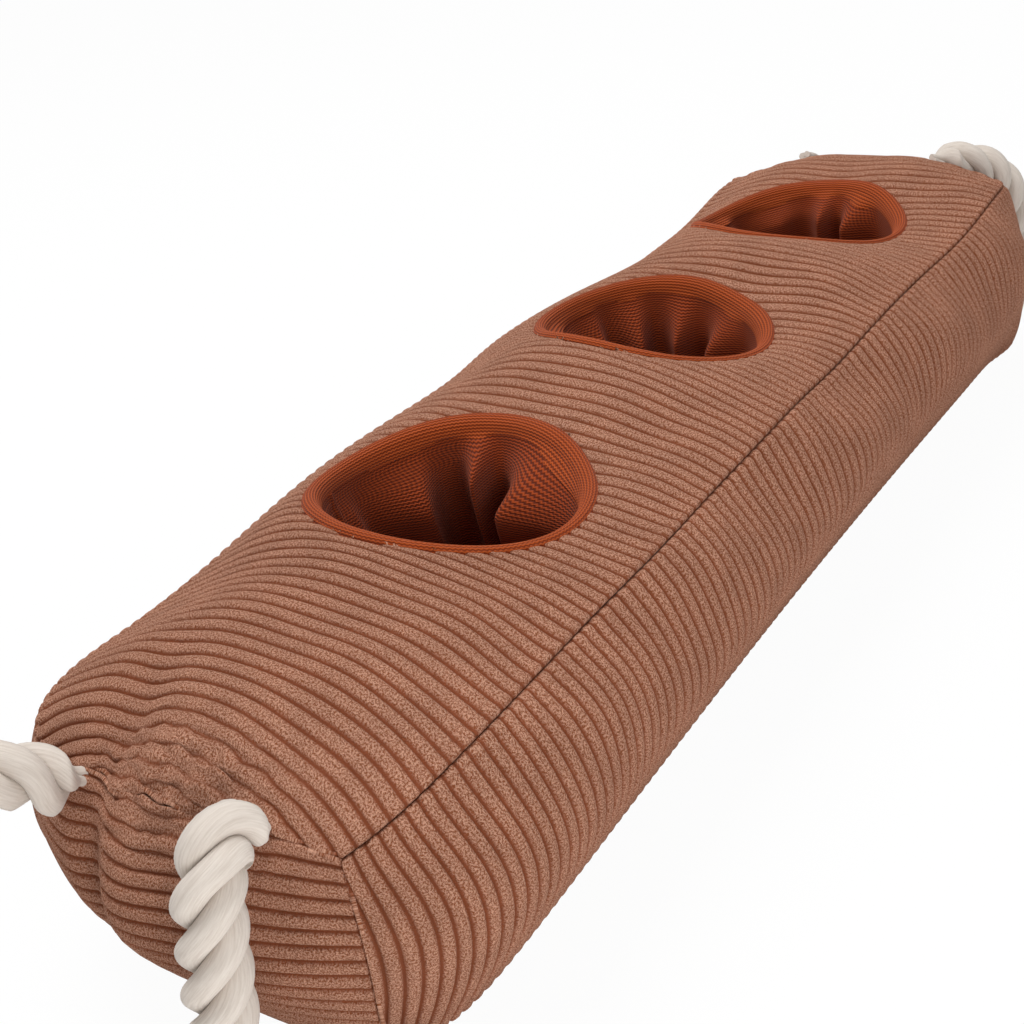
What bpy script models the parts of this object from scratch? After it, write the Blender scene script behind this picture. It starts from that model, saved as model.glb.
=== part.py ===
"""Stuffed corduroy snuffle bolster for a pet, with three pockets and two rope loops.

The cover is a long box of six corduroy panels, each with its own seam allowance, round
one block of stuffing. Three knitted pockets, each a rim band, a folded wall and a base,
go down into the stuffing. A twisted cotton rope loop swings on the seam at each end.

Metres, +Z up. The origin is on the floor under the middle of the cover, +X runs to the
right end and -Y is the front.
"""
import math

import bmesh
import bpy
from mathutils import Matrix, Vector

# Cover, seam to seam
BODY_LENGTH = 0.500
BODY_WIDTH = 0.142
BODY_HEIGHT = 0.078
TOP_CROWN = 0.020
BOTTOM_CROWN = 0.009
SIDE_CROWN = 0.0185
END_CROWN = 0.024
END_SEAM_BULGE = 0.006
LEFT_DRAW_WIDTH = 0.0105
LEFT_DRAW_HEIGHT = 0.0063
RIGHT_DRAW_WIDTH = 0.002
RIGHT_DRAW_HEIGHT = 0.002
DRAW_LENGTH = 0.012
LEFT_CROWN_SHARE = 0.3
RIGHT_CROWN_SHARE = 0.6
END_BULGE_POWER = 16
BOTTOM_CROWN_POWER = 4

# Cloth and seams
CLOTH = 0.002
SEAM_DIP = 0.0022
SEAM_DIP_REACH = 0.004
SEAM_ALLOWANCE = 0.0057
SEAM_TRIM = 0.000225
CLEARANCE = 0.00035

# Stuffing, bevelled clear of the seam allowances
CORE_BEVEL = 0.0075

# The cover is cut flat by this much where it rests on the floor
REST_CUT = 0.0005

# Pockets
POCKET_COUNT = 3
POCKET_RADIUS = 0.047
POCKET_PITCH_SHARE = 0.278
POCKET_MIDDLE_SHARE = 0.074
POCKET_DEPTH = 0.0735
KNIT = 0.0016
RIM_WIDTH = 0.0067
RIM_DROP = 0.0055
RIM_ROLL = 0.0008
WALL_CLOTH = 0.0012
WALL_FOLDS = 6
WALL_FOLD_DEPTH = 0.0030
WALL_TAPER = 0.0015
BASE_CROWN = 0.002

# Rope loops
ROPE_DIAMETER = 0.019
ROPE_TIP_RADIUS = 0.0035
ROPE_NECK_SLOPE = 0.5
ROPE_EXIT_SPREAD = 0.064
LEFT_EXIT_MIDDLE_Y = -0.0065
RIGHT_EXIT_MIDDLE_Y = 0.0
ROPE_POINTS = 52

# How finely the shapes are divided
LONG_CELLS = 20
TOP_CELLS = 8
SIDE_CELLS = 6
CORE_LONG_CELLS = 18
CORE_SIDE_CELLS = 4
ROUND_SEGMENTS = 40
WALL_STEPS_PER_FOLD = 8
NOTCH_SEGMENTS = 16
WALL_RINGS = 3
ROPE_BEVEL_RESOLUTION = 3
ROUTE_STEPS = 24

# Cutters run past what they cut by this much
OVERRUN = 0.010

# Points nearer together than this are one point
MERGE_DISTANCE = 0.00003

# Worked out from the sizes above
HALF_LENGTH = BODY_LENGTH / 2
HALF_WIDTH = BODY_WIDTH / 2
HALF_HEIGHT = BODY_HEIGHT / 2
SEAM_MIDDLE_Z = HALF_HEIGHT + BOTTOM_CROWN - REST_CUT
CORE_INSET = CLOTH + CLEARANCE
TOP_Z = SEAM_MIDDLE_Z + HALF_HEIGHT + TOP_CROWN
POCKET_PITCH = BODY_LENGTH * POCKET_PITCH_SHARE
POCKET_MIDDLE_X = BODY_LENGTH * POCKET_MIDDLE_SHARE
RIM_RADIUS = POCKET_RADIUS - CLEARANCE
NECK_RADIUS = RIM_RADIUS - RIM_WIDTH
WALL_RADIUS = NECK_RADIUS + KNIT
HOLLOW_RADIUS = WALL_RADIUS + CLEARANCE
POCKET_FLOOR_Z = TOP_Z - POCKET_DEPTH
ROPE_RADIUS = ROPE_DIAMETER / 2

# Routes of the two loops, between their ends in the seam, front end first
LEFT_LOOP_ROUTE = [
    (-0.2610, -0.0389, 0.0902), (-0.2685, -0.0390, 0.0925), (-0.2751, -0.0387, 0.0850),
    (-0.2793, -0.0383, 0.0668), (-0.2827, -0.0377, 0.0460), (-0.2885, -0.0364, 0.0278),
    (-0.3027, -0.0332, 0.0151), (-0.3260, -0.0265, 0.0099), (-0.3490, -0.0155, 0.0099),
    (-0.3655, 0.0025, 0.0099), (-0.3690, 0.0235, 0.0099), (-0.3600, 0.0415, 0.0099),
    (-0.3410, 0.0525, 0.0125), (-0.3225, 0.0565, 0.0270), (-0.3105, 0.0555, 0.0490),
    (-0.3020, 0.0515, 0.0710), (-0.2935, 0.0455, 0.0880), (-0.2827, 0.0375, 0.0988),
    (-0.2728, 0.0305, 0.0970), (-0.2635, 0.0273, 0.0891),
]
RIGHT_LOOP_ROUTE = [
    (0.2634, -0.0375, 0.0905), (0.2712, -0.0460, 0.0876), (0.2785, -0.0536, 0.0806),
    (0.2830, -0.0582, 0.0690), (0.2865, -0.0598, 0.0520), (0.2945, -0.0585, 0.0320),
    (0.3105, -0.0540, 0.0157), (0.3350, -0.0440, 0.0100), (0.3580, -0.0280, 0.0099),
    (0.3710, -0.0055, 0.0099), (0.3700, 0.0190, 0.0099), (0.3555, 0.0345, 0.0099),
    (0.3335, 0.0405, 0.0118), (0.3105, 0.0400, 0.0193), (0.2945, 0.0365, 0.0330),
    (0.2863, 0.0328, 0.0490), (0.2819, 0.0308, 0.0635), (0.2770, 0.0302, 0.0738),
    (0.2717, 0.0308, 0.0829), (0.2642, 0.0316, 0.0894),
]


def clear_scene():
    """Remove the objects that the file opened with."""
    for item in list(bpy.data.objects):
        bpy.data.objects.remove(item)


def new_collection(name):
    """Make a collection in the scene, or find the one of that name."""
    found = bpy.data.collections.get(name) or bpy.data.collections.new(name)
    if found.name not in bpy.context.scene.collection.children:
        bpy.context.scene.collection.children.link(found)
    return found


def new_material(name, colour, roughness):
    """Make a material with a plain surface of one colour."""
    material = bpy.data.materials.new(name)
    material.use_nodes = True
    shader = material.node_tree.nodes["Principled BSDF"]
    shader.inputs["Base Color"].default_value = (*colour, 1.0)
    shader.inputs["Roughness"].default_value = roughness
    shader.inputs["Metallic"].default_value = 0.0
    return material


def object_from(shape, name, collection, material=None):
    """Turn a bmesh into a smooth-shaded object in a collection."""
    mesh = bpy.data.meshes.new(name)
    shape.to_mesh(mesh)
    shape.free()
    mesh.shade_smooth()
    made = bpy.data.objects.new(name, mesh)
    collection.objects.link(made)
    if material:
        mesh.materials.append(material)
    return made


def add_cut(target, cutter, operation="DIFFERENCE"):
    """Cut a piece with a cutter."""
    cut = target.modifiers.new(cutter.name, "BOOLEAN")
    cut.operation = operation
    cut.solver = "EXACT"
    cut.object = cutter


def add_cloth(target, thickness):
    """Give an open sheet its thickness, inwards."""
    solid = target.modifiers.new("cloth", "SOLIDIFY")
    solid.thickness = thickness
    solid.offset = -1


def as_cutter(made):
    """Mark an object as a cutter."""
    made.hide_render = True
    made.display_type = "WIRE"
    return made


def seam_share(steps, count):
    """Place of a step from -1 to 1, closer together towards both seams."""
    return -math.cos(math.pi * steps / count)


def cover_point(along, across, up, inset=0.0):
    """Place a point of the unit cube's faces on the stuffed cover, or inset within it."""
    left_pull = math.exp(-HALF_LENGTH * (1 + along) / DRAW_LENGTH)
    right_pull = math.exp(-HALF_LENGTH * (1 - along) / DRAW_LENGTH)
    crown_share = 1 - (1 - LEFT_CROWN_SHARE) * left_pull - (1 - RIGHT_CROWN_SHARE) * right_pull
    half_width = HALF_WIDTH - LEFT_DRAW_WIDTH * left_pull - RIGHT_DRAW_WIDTH * right_pull
    half_height = HALF_HEIGHT - LEFT_DRAW_HEIGHT * left_pull - RIGHT_DRAW_HEIGHT * right_pull
    across_room = 1 - across ** 2
    up_room = 1 - up ** 2
    if up > 0:
        crown = TOP_CROWN * across_room
    else:
        crown = BOTTOM_CROWN * (1 - across ** BOTTOM_CROWN_POWER)
    end_crown = (END_CROWN - 2 * END_SEAM_BULGE) * across_room * up_room
    end_reach = END_SEAM_BULGE * (across_room + up_room) + end_crown
    end_share = math.copysign(abs(along) ** END_BULGE_POWER, along)
    x = along * (HALF_LENGTH - inset) + end_share * end_reach
    y = across * (half_width - inset + SIDE_CROWN * up_room * crown_share)
    z = up * (half_height - inset + crown * crown_share)
    return Vector((x, y, z + SEAM_MIDDLE_Z))


def top_height(x, y):
    """Height of the top panel over a point of the floor, away from the seams."""
    along = x / HALF_LENGTH
    across = y / HALF_WIDTH
    return cover_point(along, across, 1).z


def near_seam(first, first_half, second, second_half, reach):
    """Share of how near a point is to its panel's seams, 1 on a seam and 0 from its reach on."""
    distance = min((1 - abs(first)) * first_half, (1 - abs(second)) * second_half)
    return max(0.0, 1 - distance / reach)


def cover_panel(name, side, sign, cells, collection, material):
    """Make one panel of the cover, with the seam allowance that turns in along its edges.

    side is the axis that the panel faces, 0 for an end, 1 for a long side, 2 for the top or
    bottom, and sign says which of the two. cells are the steps along its two edges.
    """
    halves = [HALF_LENGTH, HALF_WIDTH, HALF_HEIGHT]
    edges = [axis for axis in range(3) if axis != side]
    shape = bmesh.new()
    segments = [count + 2 for count in cells]
    bmesh.ops.create_grid(shape, x_segments=segments[0], y_segments=segments[1], size=1)
    corners = []
    for vertex in shape.verts:
        steps = [(vertex.co[axis] + 1) / 2 * segments[axis] - 1 for axis in range(2)]
        place = [0.0, 0.0, 0.0]
        place[side] = sign
        turned_in = 0
        for axis in range(2):
            half = halves[edges[axis]]
            step = round(steps[axis])
            turned_in += step < 0 or step > cells[axis]
            share = seam_share(min(max(step, 0), cells[axis]), cells[axis])
            place[edges[axis]] = share * (1 - SEAM_TRIM / half)
        dip = near_seam(place[edges[0]], halves[edges[0]], place[edges[1]], halves[edges[1]],
                        2 * SEAM_DIP_REACH)
        inset = SEAM_ALLOWANCE if turned_in else SEAM_DIP * dip ** 2
        vertex.co = cover_point(*place, inset)
        if turned_in == 2:
            corners.append(vertex)
    bmesh.ops.delete(shape, geom=corners, context="VERTS")
    bmesh.ops.remove_doubles(shape, verts=shape.verts, dist=MERGE_DISTANCE)
    bmesh.ops.recalc_face_normals(shape, faces=shape.faces)
    middle = max(shape.faces, key=lambda face: sign * face.calc_center_median()[side])
    if middle.normal[side] * sign < 0:
        bmesh.ops.reverse_faces(shape, faces=shape.faces)
    made = object_from(shape, name, collection, material)
    add_cloth(made, CLOTH)
    return made


def stuffing_core(collection, material):
    """Make the stuffing, a block of the cover's form with bevelled edges."""
    shape = bmesh.new()
    counts = [CORE_LONG_CELLS, TOP_CELLS, CORE_SIDE_CELLS]
    halves = [HALF_LENGTH, HALF_WIDTH, HALF_HEIGHT]
    bmesh.ops.create_cube(shape, size=2)
    for axis in range(3):
        for step in range(1, counts[axis]):
            normal = Vector((0, 0, 0))
            normal[axis] = 1
            cut = normal * seam_share(step, counts[axis])
            everything = shape.verts[:] + shape.edges[:] + shape.faces[:]
            bmesh.ops.bisect_plane(shape, geom=everything, plane_co=cut, plane_no=normal)
    for vertex in shape.verts:
        shares = sorted((1 - abs(vertex.co[axis])) * halves[axis] for axis in range(3))
        near = max(0.0, 1 - shares[1] / CORE_BEVEL)
        inset = CORE_INSET + (CORE_BEVEL - CORE_INSET) * near
        vertex.co = cover_point(*vertex.co, inset)
    bmesh.ops.recalc_face_normals(shape, faces=shape.faces)
    return object_from(shape, "stuffing_core", collection, material)


def upright_cylinder(name, x, radius, low, high, collection):
    """Make an upright cylinder on the middle line of the cover, as a cutter."""
    shape = bmesh.new()
    middle = Matrix.Translation((x, 0, (low + high) / 2))
    bmesh.ops.create_cone(shape, cap_ends=True, segments=ROUND_SEGMENTS, radius1=radius,
                          radius2=radius, depth=high - low, matrix=middle)
    return as_cutter(object_from(shape, name, collection))


def floor_cutter(collection):
    """Make the slab whose top is the floor, which cuts the cover flat to rest on."""
    shape = bmesh.new()
    size = Matrix.Diagonal((BODY_LENGTH, BODY_WIDTH, OVERRUN, 1))
    place = Matrix.Translation((0, 0, -OVERRUN / 2))
    bmesh.ops.create_cube(shape, size=1, matrix=place @ size)
    return as_cutter(object_from(shape, "floor_cut", collection))


def exit_points(side):
    """Places where the two ends of a loop leave the top seam of its end, front one first."""
    middle = LEFT_EXIT_MIDDLE_Y if side < 0 else RIGHT_EXIT_MIDDLE_Y
    edge = cover_point(side, 1, 1).y
    share = ROPE_EXIT_SPREAD / 2 / edge
    on_seam = cover_point(side, share, 1)
    return [Vector((on_seam.x, middle + way * ROPE_EXIT_SPREAD / 2, on_seam.z)) for way in (-1, 1)]


def exit_notches(side, name, collection):
    """Make the round notches in the seam where the ends of a loop sit, as a cutter."""
    shape = bmesh.new()
    turn = Matrix.Rotation(math.pi / 2, 4, "X")
    radius = ROPE_TIP_RADIUS + 2 * CLEARANCE
    width = 2 * (radius + 2 * CLEARANCE)
    for place in exit_points(side):
        bmesh.ops.create_cone(shape, cap_ends=True, segments=NOTCH_SEGMENTS, radius1=radius,
                              radius2=radius, depth=width,
                              matrix=Matrix.Translation(place) @ turn)
    return as_cutter(object_from(shape, name, collection))


def turned_profile(name, outline, closed, collection, material):
    """Turn an outline of radius and height about the Z axis."""
    shape = bmesh.new()
    points = [shape.verts.new((radius, 0, height)) for radius, height in outline]
    ends = points[1:] + points[:1] if closed else points[1:]
    for start, end in zip(points, ends):
        shape.edges.new((start, end))
    made = object_from(shape, name, collection, material)
    screw = made.modifiers.new("turn", "SCREW")
    screw.steps = ROUND_SEGMENTS
    screw.render_steps = ROUND_SEGMENTS
    screw.use_merge_vertices = True
    screw.merge_threshold = MERGE_DISTANCE
    return made


def baked(made, collection):
    """Replace an object with the mesh that its modifiers make, and return that bmesh."""
    evaluated = made.evaluated_get(bpy.context.evaluated_depsgraph_get())
    mesh = bpy.data.meshes.new_from_object(evaluated)
    shape = bmesh.new()
    shape.from_mesh(mesh)
    bpy.data.objects.remove(made)
    return shape


def pocket_rim(name, x, collection, material):
    """Make the knitted band round a pocket, which follows the crown of the top panel."""
    outline = [
        (RIM_RADIUS, -2 * CLEARANCE),
        (RIM_RADIUS - RIM_WIDTH / 5, RIM_ROLL),
        (RIM_RADIUS - RIM_WIDTH / 2, RIM_ROLL),
        (NECK_RADIUS + KNIT / 2, -KNIT / 2),
        (NECK_RADIUS, -2 * KNIT),
        (NECK_RADIUS, -RIM_DROP),
        (WALL_RADIUS, -RIM_DROP),
        (WALL_RADIUS, -KNIT - RIM_ROLL / 2),
        (RIM_RADIUS, -2 * CLEARANCE - KNIT + RIM_ROLL / 2),
    ]
    turned = turned_profile(name + "_turned", outline, True, collection, material)
    bpy.context.view_layer.update()
    shape = baked(turned, collection)
    bmesh.ops.recalc_face_normals(shape, faces=shape.faces)
    for vertex in shape.verts:
        vertex.co.x += x
        vertex.co.z += top_height(vertex.co.x, vertex.co.y)
    return object_from(shape, name, collection, material)


def pocket_wall(name, x, collection, material):
    """Make the wall of a pocket, a knitted sleeve whose folds deepen towards the base."""
    shape = bmesh.new()
    bmesh.ops.create_grid(shape, x_segments=WALL_FOLDS * WALL_STEPS_PER_FOLD,
                           y_segments=WALL_RINGS, size=1)
    for vertex in shape.verts:
        angle = math.pi * vertex.co.x
        down_share = (1 - vertex.co.y) / 2
        fold = WALL_FOLD_DEPTH * down_share * (1 - math.cos(WALL_FOLDS * angle)) / 2
        radius = WALL_RADIUS - WALL_TAPER * down_share - fold
        flat_x = x + radius * math.cos(angle)
        flat_y = radius * math.sin(angle)
        top = top_height(x + WALL_RADIUS * math.cos(angle), WALL_RADIUS * math.sin(angle))
        high = top - RIM_DROP - CLEARANCE
        low = POCKET_FLOOR_Z + BASE_CROWN + CLEARANCE
        vertex.co = (flat_x, flat_y, high + (low - high) * down_share)
    bmesh.ops.remove_doubles(shape, verts=shape.verts, dist=MERGE_DISTANCE)
    bmesh.ops.recalc_face_normals(shape, faces=shape.faces)
    outwards = Vector((x, 0, 0))
    first = next(iter(shape.faces))
    away = first.calc_center_median() - outwards
    if first.normal.xy.dot(away.xy) < 0:
        bmesh.ops.reverse_faces(shape, faces=shape.faces)
    made = object_from(shape, name, collection, material)
    add_cloth(made, WALL_CLOTH)
    return made


def pocket_base(name, x, collection, material):
    """Make the round base of a pocket, a little raised in the middle."""
    low = POCKET_FLOOR_Z - KNIT
    outline = [
        (0, low + KNIT + BASE_CROWN),
        (WALL_RADIUS / 2, low + KNIT + BASE_CROWN * 3 / 4),
        (WALL_RADIUS, low + KNIT),
        (WALL_RADIUS, low),
        (0, low),
    ]
    made = turned_profile(name, outline, False, collection, material)
    made.location.x = x
    return made


def smooth_route(route, count):
    """Points at even steps on a smooth curve through a route's own points."""
    points = [Vector(point) for point in route]
    before = points[0] * 2 - points[1]
    after = points[-1] * 2 - points[-2]
    held = [before] + points + [after]
    fine = []
    for index in range(1, len(held) - 2):
        four = held[index - 1:index + 3]
        knots = [0.0]
        for start, end in zip(four, four[1:]):
            knots.append(knots[-1] + math.sqrt((end - start).length))
        for step in range(ROUTE_STEPS):
            fine.append(curve_point(four, knots, step / ROUTE_STEPS))
    fine.append(points[-1])
    lengths = [0.0]
    for start, end in zip(fine, fine[1:]):
        lengths.append(lengths[-1] + (end - start).length)
    even = []
    index = 0
    for step in range(count):
        wanted = lengths[-1] * step / (count - 1)
        while index < len(fine) - 2 and lengths[index + 1] < wanted:
            index += 1
        span = lengths[index + 1] - lengths[index]
        share = min(1.0, (wanted - lengths[index]) / span)
        even.append(fine[index].lerp(fine[index + 1], share))
    return even, lengths[-1]


def curve_point(four, knots, share):
    """Point between the middle two of four, on a centripetal curve through them."""
    here = knots[1] + (knots[2] - knots[1]) * share

    def blend(low, high, start, end):
        part = (here - knots[low]) / (knots[high] - knots[low])
        return start.lerp(end, part)

    first = [blend(step, step + 1, four[step], four[step + 1]) for step in range(3)]
    second = [blend(step, step + 2, first[step], first[step + 1]) for step in range(2)]
    return blend(1, 2, second[0], second[1])


def rope_loop(name, side, route, collection, material):
    """Make a rope loop whose ends narrow to the stitched points that it swings on."""
    ends = exit_points(side)
    hinge = (ends[0] + ends[1]) / 2
    points, length = smooth_route([ends[0]] + route + [ends[1]], ROPE_POINTS)
    curve = bpy.data.curves.new(name, "CURVE")
    curve.dimensions = "3D"
    curve.bevel_depth = ROPE_RADIUS
    curve.bevel_resolution = ROPE_BEVEL_RESOLUTION
    curve.use_fill_caps = True
    curve.materials.append(material)
    spline = curve.splines.new("POLY")
    spline.points.add(len(points) - 1)
    for index, point in enumerate(points):
        run = length * min(index, len(points) - 1 - index) / (len(points) - 1)
        radius = min(ROPE_RADIUS, max(ROPE_TIP_RADIUS, ROPE_NECK_SLOPE * run))
        spline.points[index].co = (*(point - hinge), 1)
        spline.points[index].radius = radius / ROPE_RADIUS
    made = bpy.data.objects.new(name, curve)
    made.location = hinge
    collection.objects.link(made)
    print(name, "length", round(length, 4), "hinge", [round(value, 5) for value in hinge])
    return made


def build():
    """Build the toy."""
    clear_scene()
    pieces = new_collection("snuffle_toy")
    cutters = new_collection("cutters")
    corduroy = new_material("brown_corduroy", (0.305, 0.141, 0.087), 0.95)
    knit = new_material("rust_rib_knit", (0.238, 0.051, 0.018), 0.9)
    cotton = new_material("twisted_cotton", (0.658, 0.604, 0.552), 0.85)
    fibre = new_material("polyester_fibre", (0.80, 0.80, 0.78), 0.9)

    long_cells = (LONG_CELLS, TOP_CELLS)
    side_cells = (LONG_CELLS, SIDE_CELLS)
    end_cells = (TOP_CELLS, SIDE_CELLS)
    top = cover_panel("top_panel", 2, 1, long_cells, pieces, corduroy)
    bottom = cover_panel("bottom_panel", 2, -1, long_cells, pieces, corduroy)
    cover_panel("front_panel", 1, -1, side_cells, pieces, corduroy)
    cover_panel("back_panel", 1, 1, side_cells, pieces, corduroy)
    left_end = cover_panel("left_end_panel", 0, -1, end_cells, pieces, corduroy)
    right_end = cover_panel("right_end_panel", 0, 1, end_cells, pieces, corduroy)
    add_cut(bottom, floor_cutter(cutters))

    core = stuffing_core(pieces, fibre)
    hollow_low = POCKET_FLOOR_Z - KNIT - CLEARANCE
    for pocket in range(POCKET_COUNT):
        number = pocket + 1
        x = POCKET_MIDDLE_X + (pocket - (POCKET_COUNT - 1) / 2) * POCKET_PITCH
        opening = upright_cylinder(f"opening_cut_{number}", x, POCKET_RADIUS,
                                   SEAM_MIDDLE_Z, TOP_Z + OVERRUN, cutters)
        hollow = upright_cylinder(f"hollow_cut_{number}", x, HOLLOW_RADIUS,
                                  hollow_low, TOP_Z + OVERRUN, cutters)
        add_cut(top, opening)
        add_cut(core, hollow)
        pocket_rim(f"pocket_rim_{number}", x, pieces, knit)
        pocket_wall(f"pocket_wall_{number}", x, pieces, knit)
        pocket_base(f"pocket_base_{number}", x, pieces, knit)

    for side, name, end, route in ((-1, "left", left_end, LEFT_LOOP_ROUTE),
                                   (1, "right", right_end, RIGHT_LOOP_ROUTE)):
        notches = exit_notches(side, f"{name}_notch_cut", cutters)
        add_cut(top, notches)
        add_cut(end, notches)
        rope_loop(f"{name}_rope_loop", side, route, pieces, cotton)


build()
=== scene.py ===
"""Looks of a stuffed corduroy snuffle bolster with knitted pockets and cotton rope loops.

Metres, +Z up. The origin is on the floor under the middle of the cover, +X runs to the
right end and -Y is the front, as in the CAD frame that this file dresses.
"""

import logging
import math
from dataclasses import dataclass, field
from enum import Enum
from typing import Any, Sequence

import bmesh
import bpy
import numpy as np
from mathutils import Matrix, Vector


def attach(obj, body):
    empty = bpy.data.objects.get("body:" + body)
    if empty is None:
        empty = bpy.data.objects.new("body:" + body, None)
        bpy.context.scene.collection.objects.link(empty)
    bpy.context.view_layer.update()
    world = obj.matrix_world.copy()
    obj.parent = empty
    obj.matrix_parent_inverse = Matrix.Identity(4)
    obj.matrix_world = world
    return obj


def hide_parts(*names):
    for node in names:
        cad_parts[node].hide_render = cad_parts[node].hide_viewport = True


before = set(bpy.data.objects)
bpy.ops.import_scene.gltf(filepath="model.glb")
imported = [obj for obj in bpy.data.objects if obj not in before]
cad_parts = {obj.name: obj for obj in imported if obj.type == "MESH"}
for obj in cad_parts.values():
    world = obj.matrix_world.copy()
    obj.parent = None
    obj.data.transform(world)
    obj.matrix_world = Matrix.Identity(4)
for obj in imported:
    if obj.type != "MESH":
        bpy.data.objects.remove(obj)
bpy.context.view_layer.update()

Point = tuple[float, float, float]
log = logging.getLogger("snuffle_bolster")

MM = 1000.0
FULL_TURN = 2 * math.pi
SMALLEST_LENGTH = 1e-9
SMALLEST_NORMAL = 1e-12
WELD_DISTANCE = 1e-6
WHITE = (1.0, 1.0, 1.0, 1.0)
# Sockets of the mix node when it mixes colours: its share, its two colours and its result
MIX_SHARE, MIX_FIRST, MIX_SECOND, MIXED = 0, 6, 7, 2
# Output of the random value node that holds a plain number
RANDOM_NUMBER = 1
# Where the middles of the pockets are along the cover, from the left
POCKET_PLACES = (-0.102, 0.037, 0.176)


class Body(Enum):
    """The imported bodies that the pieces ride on."""

    COVER = "stuffed_body"
    LEFT_LOOP = "left_loop"
    RIGHT_LOOP = "right_loop"


class Slot(Enum):
    """The material slots of the record."""

    CORDUROY = "corduroy"
    KNIT = "rib_knit"
    COTTON = "cotton_rope"
    FIBRE = "fibre_fill"


# Small tools


def linear(hex_colour: str) -> tuple[float, float, float, float]:
    """Turn an sRGB hex colour into linear red, green, blue and alpha.

    Args:
        hex_colour: The colour as six hex digits after a hash.

    Returns:
        The linear colour with alpha 1.
    """
    parts = [int(hex_colour[place:place + 2], 16) / 255 for place in (1, 3, 5)]
    red, green, blue = (
        part / 12.92 if part <= 0.04045 else ((part + 0.055) / 1.055) ** 2.4 for part in parts
    )
    return red, green, blue, 1.0


def add_node(tree: bpy.types.NodeTree, kind: str, settings: dict[str, Any] | None = None,
             inputs: dict[Any, Any] | None = None) -> bpy.types.Node:
    """Add a node with its settings, and set or link its inputs.

    Args:
        tree: The node tree that gets the node.
        kind: The node's type name.
        settings: Values of the node's own properties.
        inputs: Values or output sockets, by input name or number.

    Returns:
        The new node.
    """
    node = tree.nodes.new(kind)
    for name, value in (settings or {}).items():
        setattr(node, name, value)
    set_inputs(tree, node, inputs or {})
    return node


def set_inputs(tree: bpy.types.NodeTree, node: bpy.types.Node, inputs: dict[Any, Any]) -> None:
    """Set or link the inputs of a node.

    Args:
        tree: The node's tree.
        node: The node.
        inputs: Values or output sockets, by input name or number.
    """
    for name, value in inputs.items():
        if isinstance(value, bpy.types.NodeSocket):
            tree.links.new(value, node.inputs[name])
        else:
            node.inputs[name].default_value = value


def new_material(name: str) -> tuple[bpy.types.Material, bpy.types.NodeTree, bpy.types.Node]:
    """Start a material with its own shader.

    Args:
        name: The material's name.

    Returns:
        The material, its node tree and its shader.
    """
    made = bpy.data.materials.new(name)
    made.use_nodes = True
    return made, made.node_tree, made.node_tree.nodes["Principled BSDF"]


def smooth_step(share: np.ndarray) -> np.ndarray:
    """Ease a share from 0 to 1, held at both ends."""
    held = np.clip(share, 0.0, 1.0)
    return held * held * (3 - 2 * held)


def drift(first: np.ndarray, second: np.ndarray, size: float, seed: int) -> np.ndarray:
    """Make a slow, smooth and repeatable unevenness over two coordinates.

    Args:
        first: One coordinate, in metres.
        second: The other coordinate, in metres.
        size: Rough size of one swell, in metres.
        seed: Seed of the waves.

    Returns:
        Values of about -1 to 1.
    """
    chance = np.random.default_rng(seed)
    total = np.zeros(np.broadcast(first, second).shape)
    waves = 6
    shortest, longest = 0.7, 1.8
    for _ in range(waves):
        angle, start = chance.uniform(0, FULL_TURN, 2)
        rate = FULL_TURN / (size * chance.uniform(shortest, longest))
        total += np.sin((first * math.cos(angle) + second * math.sin(angle)) * rate + start)
    return total / math.sqrt(waves)


def scene_object(name: str, data: bpy.types.ID) -> bpy.types.Object:
    """Make an object and put it in the scene.

    Args:
        name: Name of the object.
        data: Its mesh, lamp or camera.

    Returns:
        The object.
    """
    made = bpy.data.objects.new(name, data)
    bpy.context.scene.collection.objects.link(made)
    return made


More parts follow.
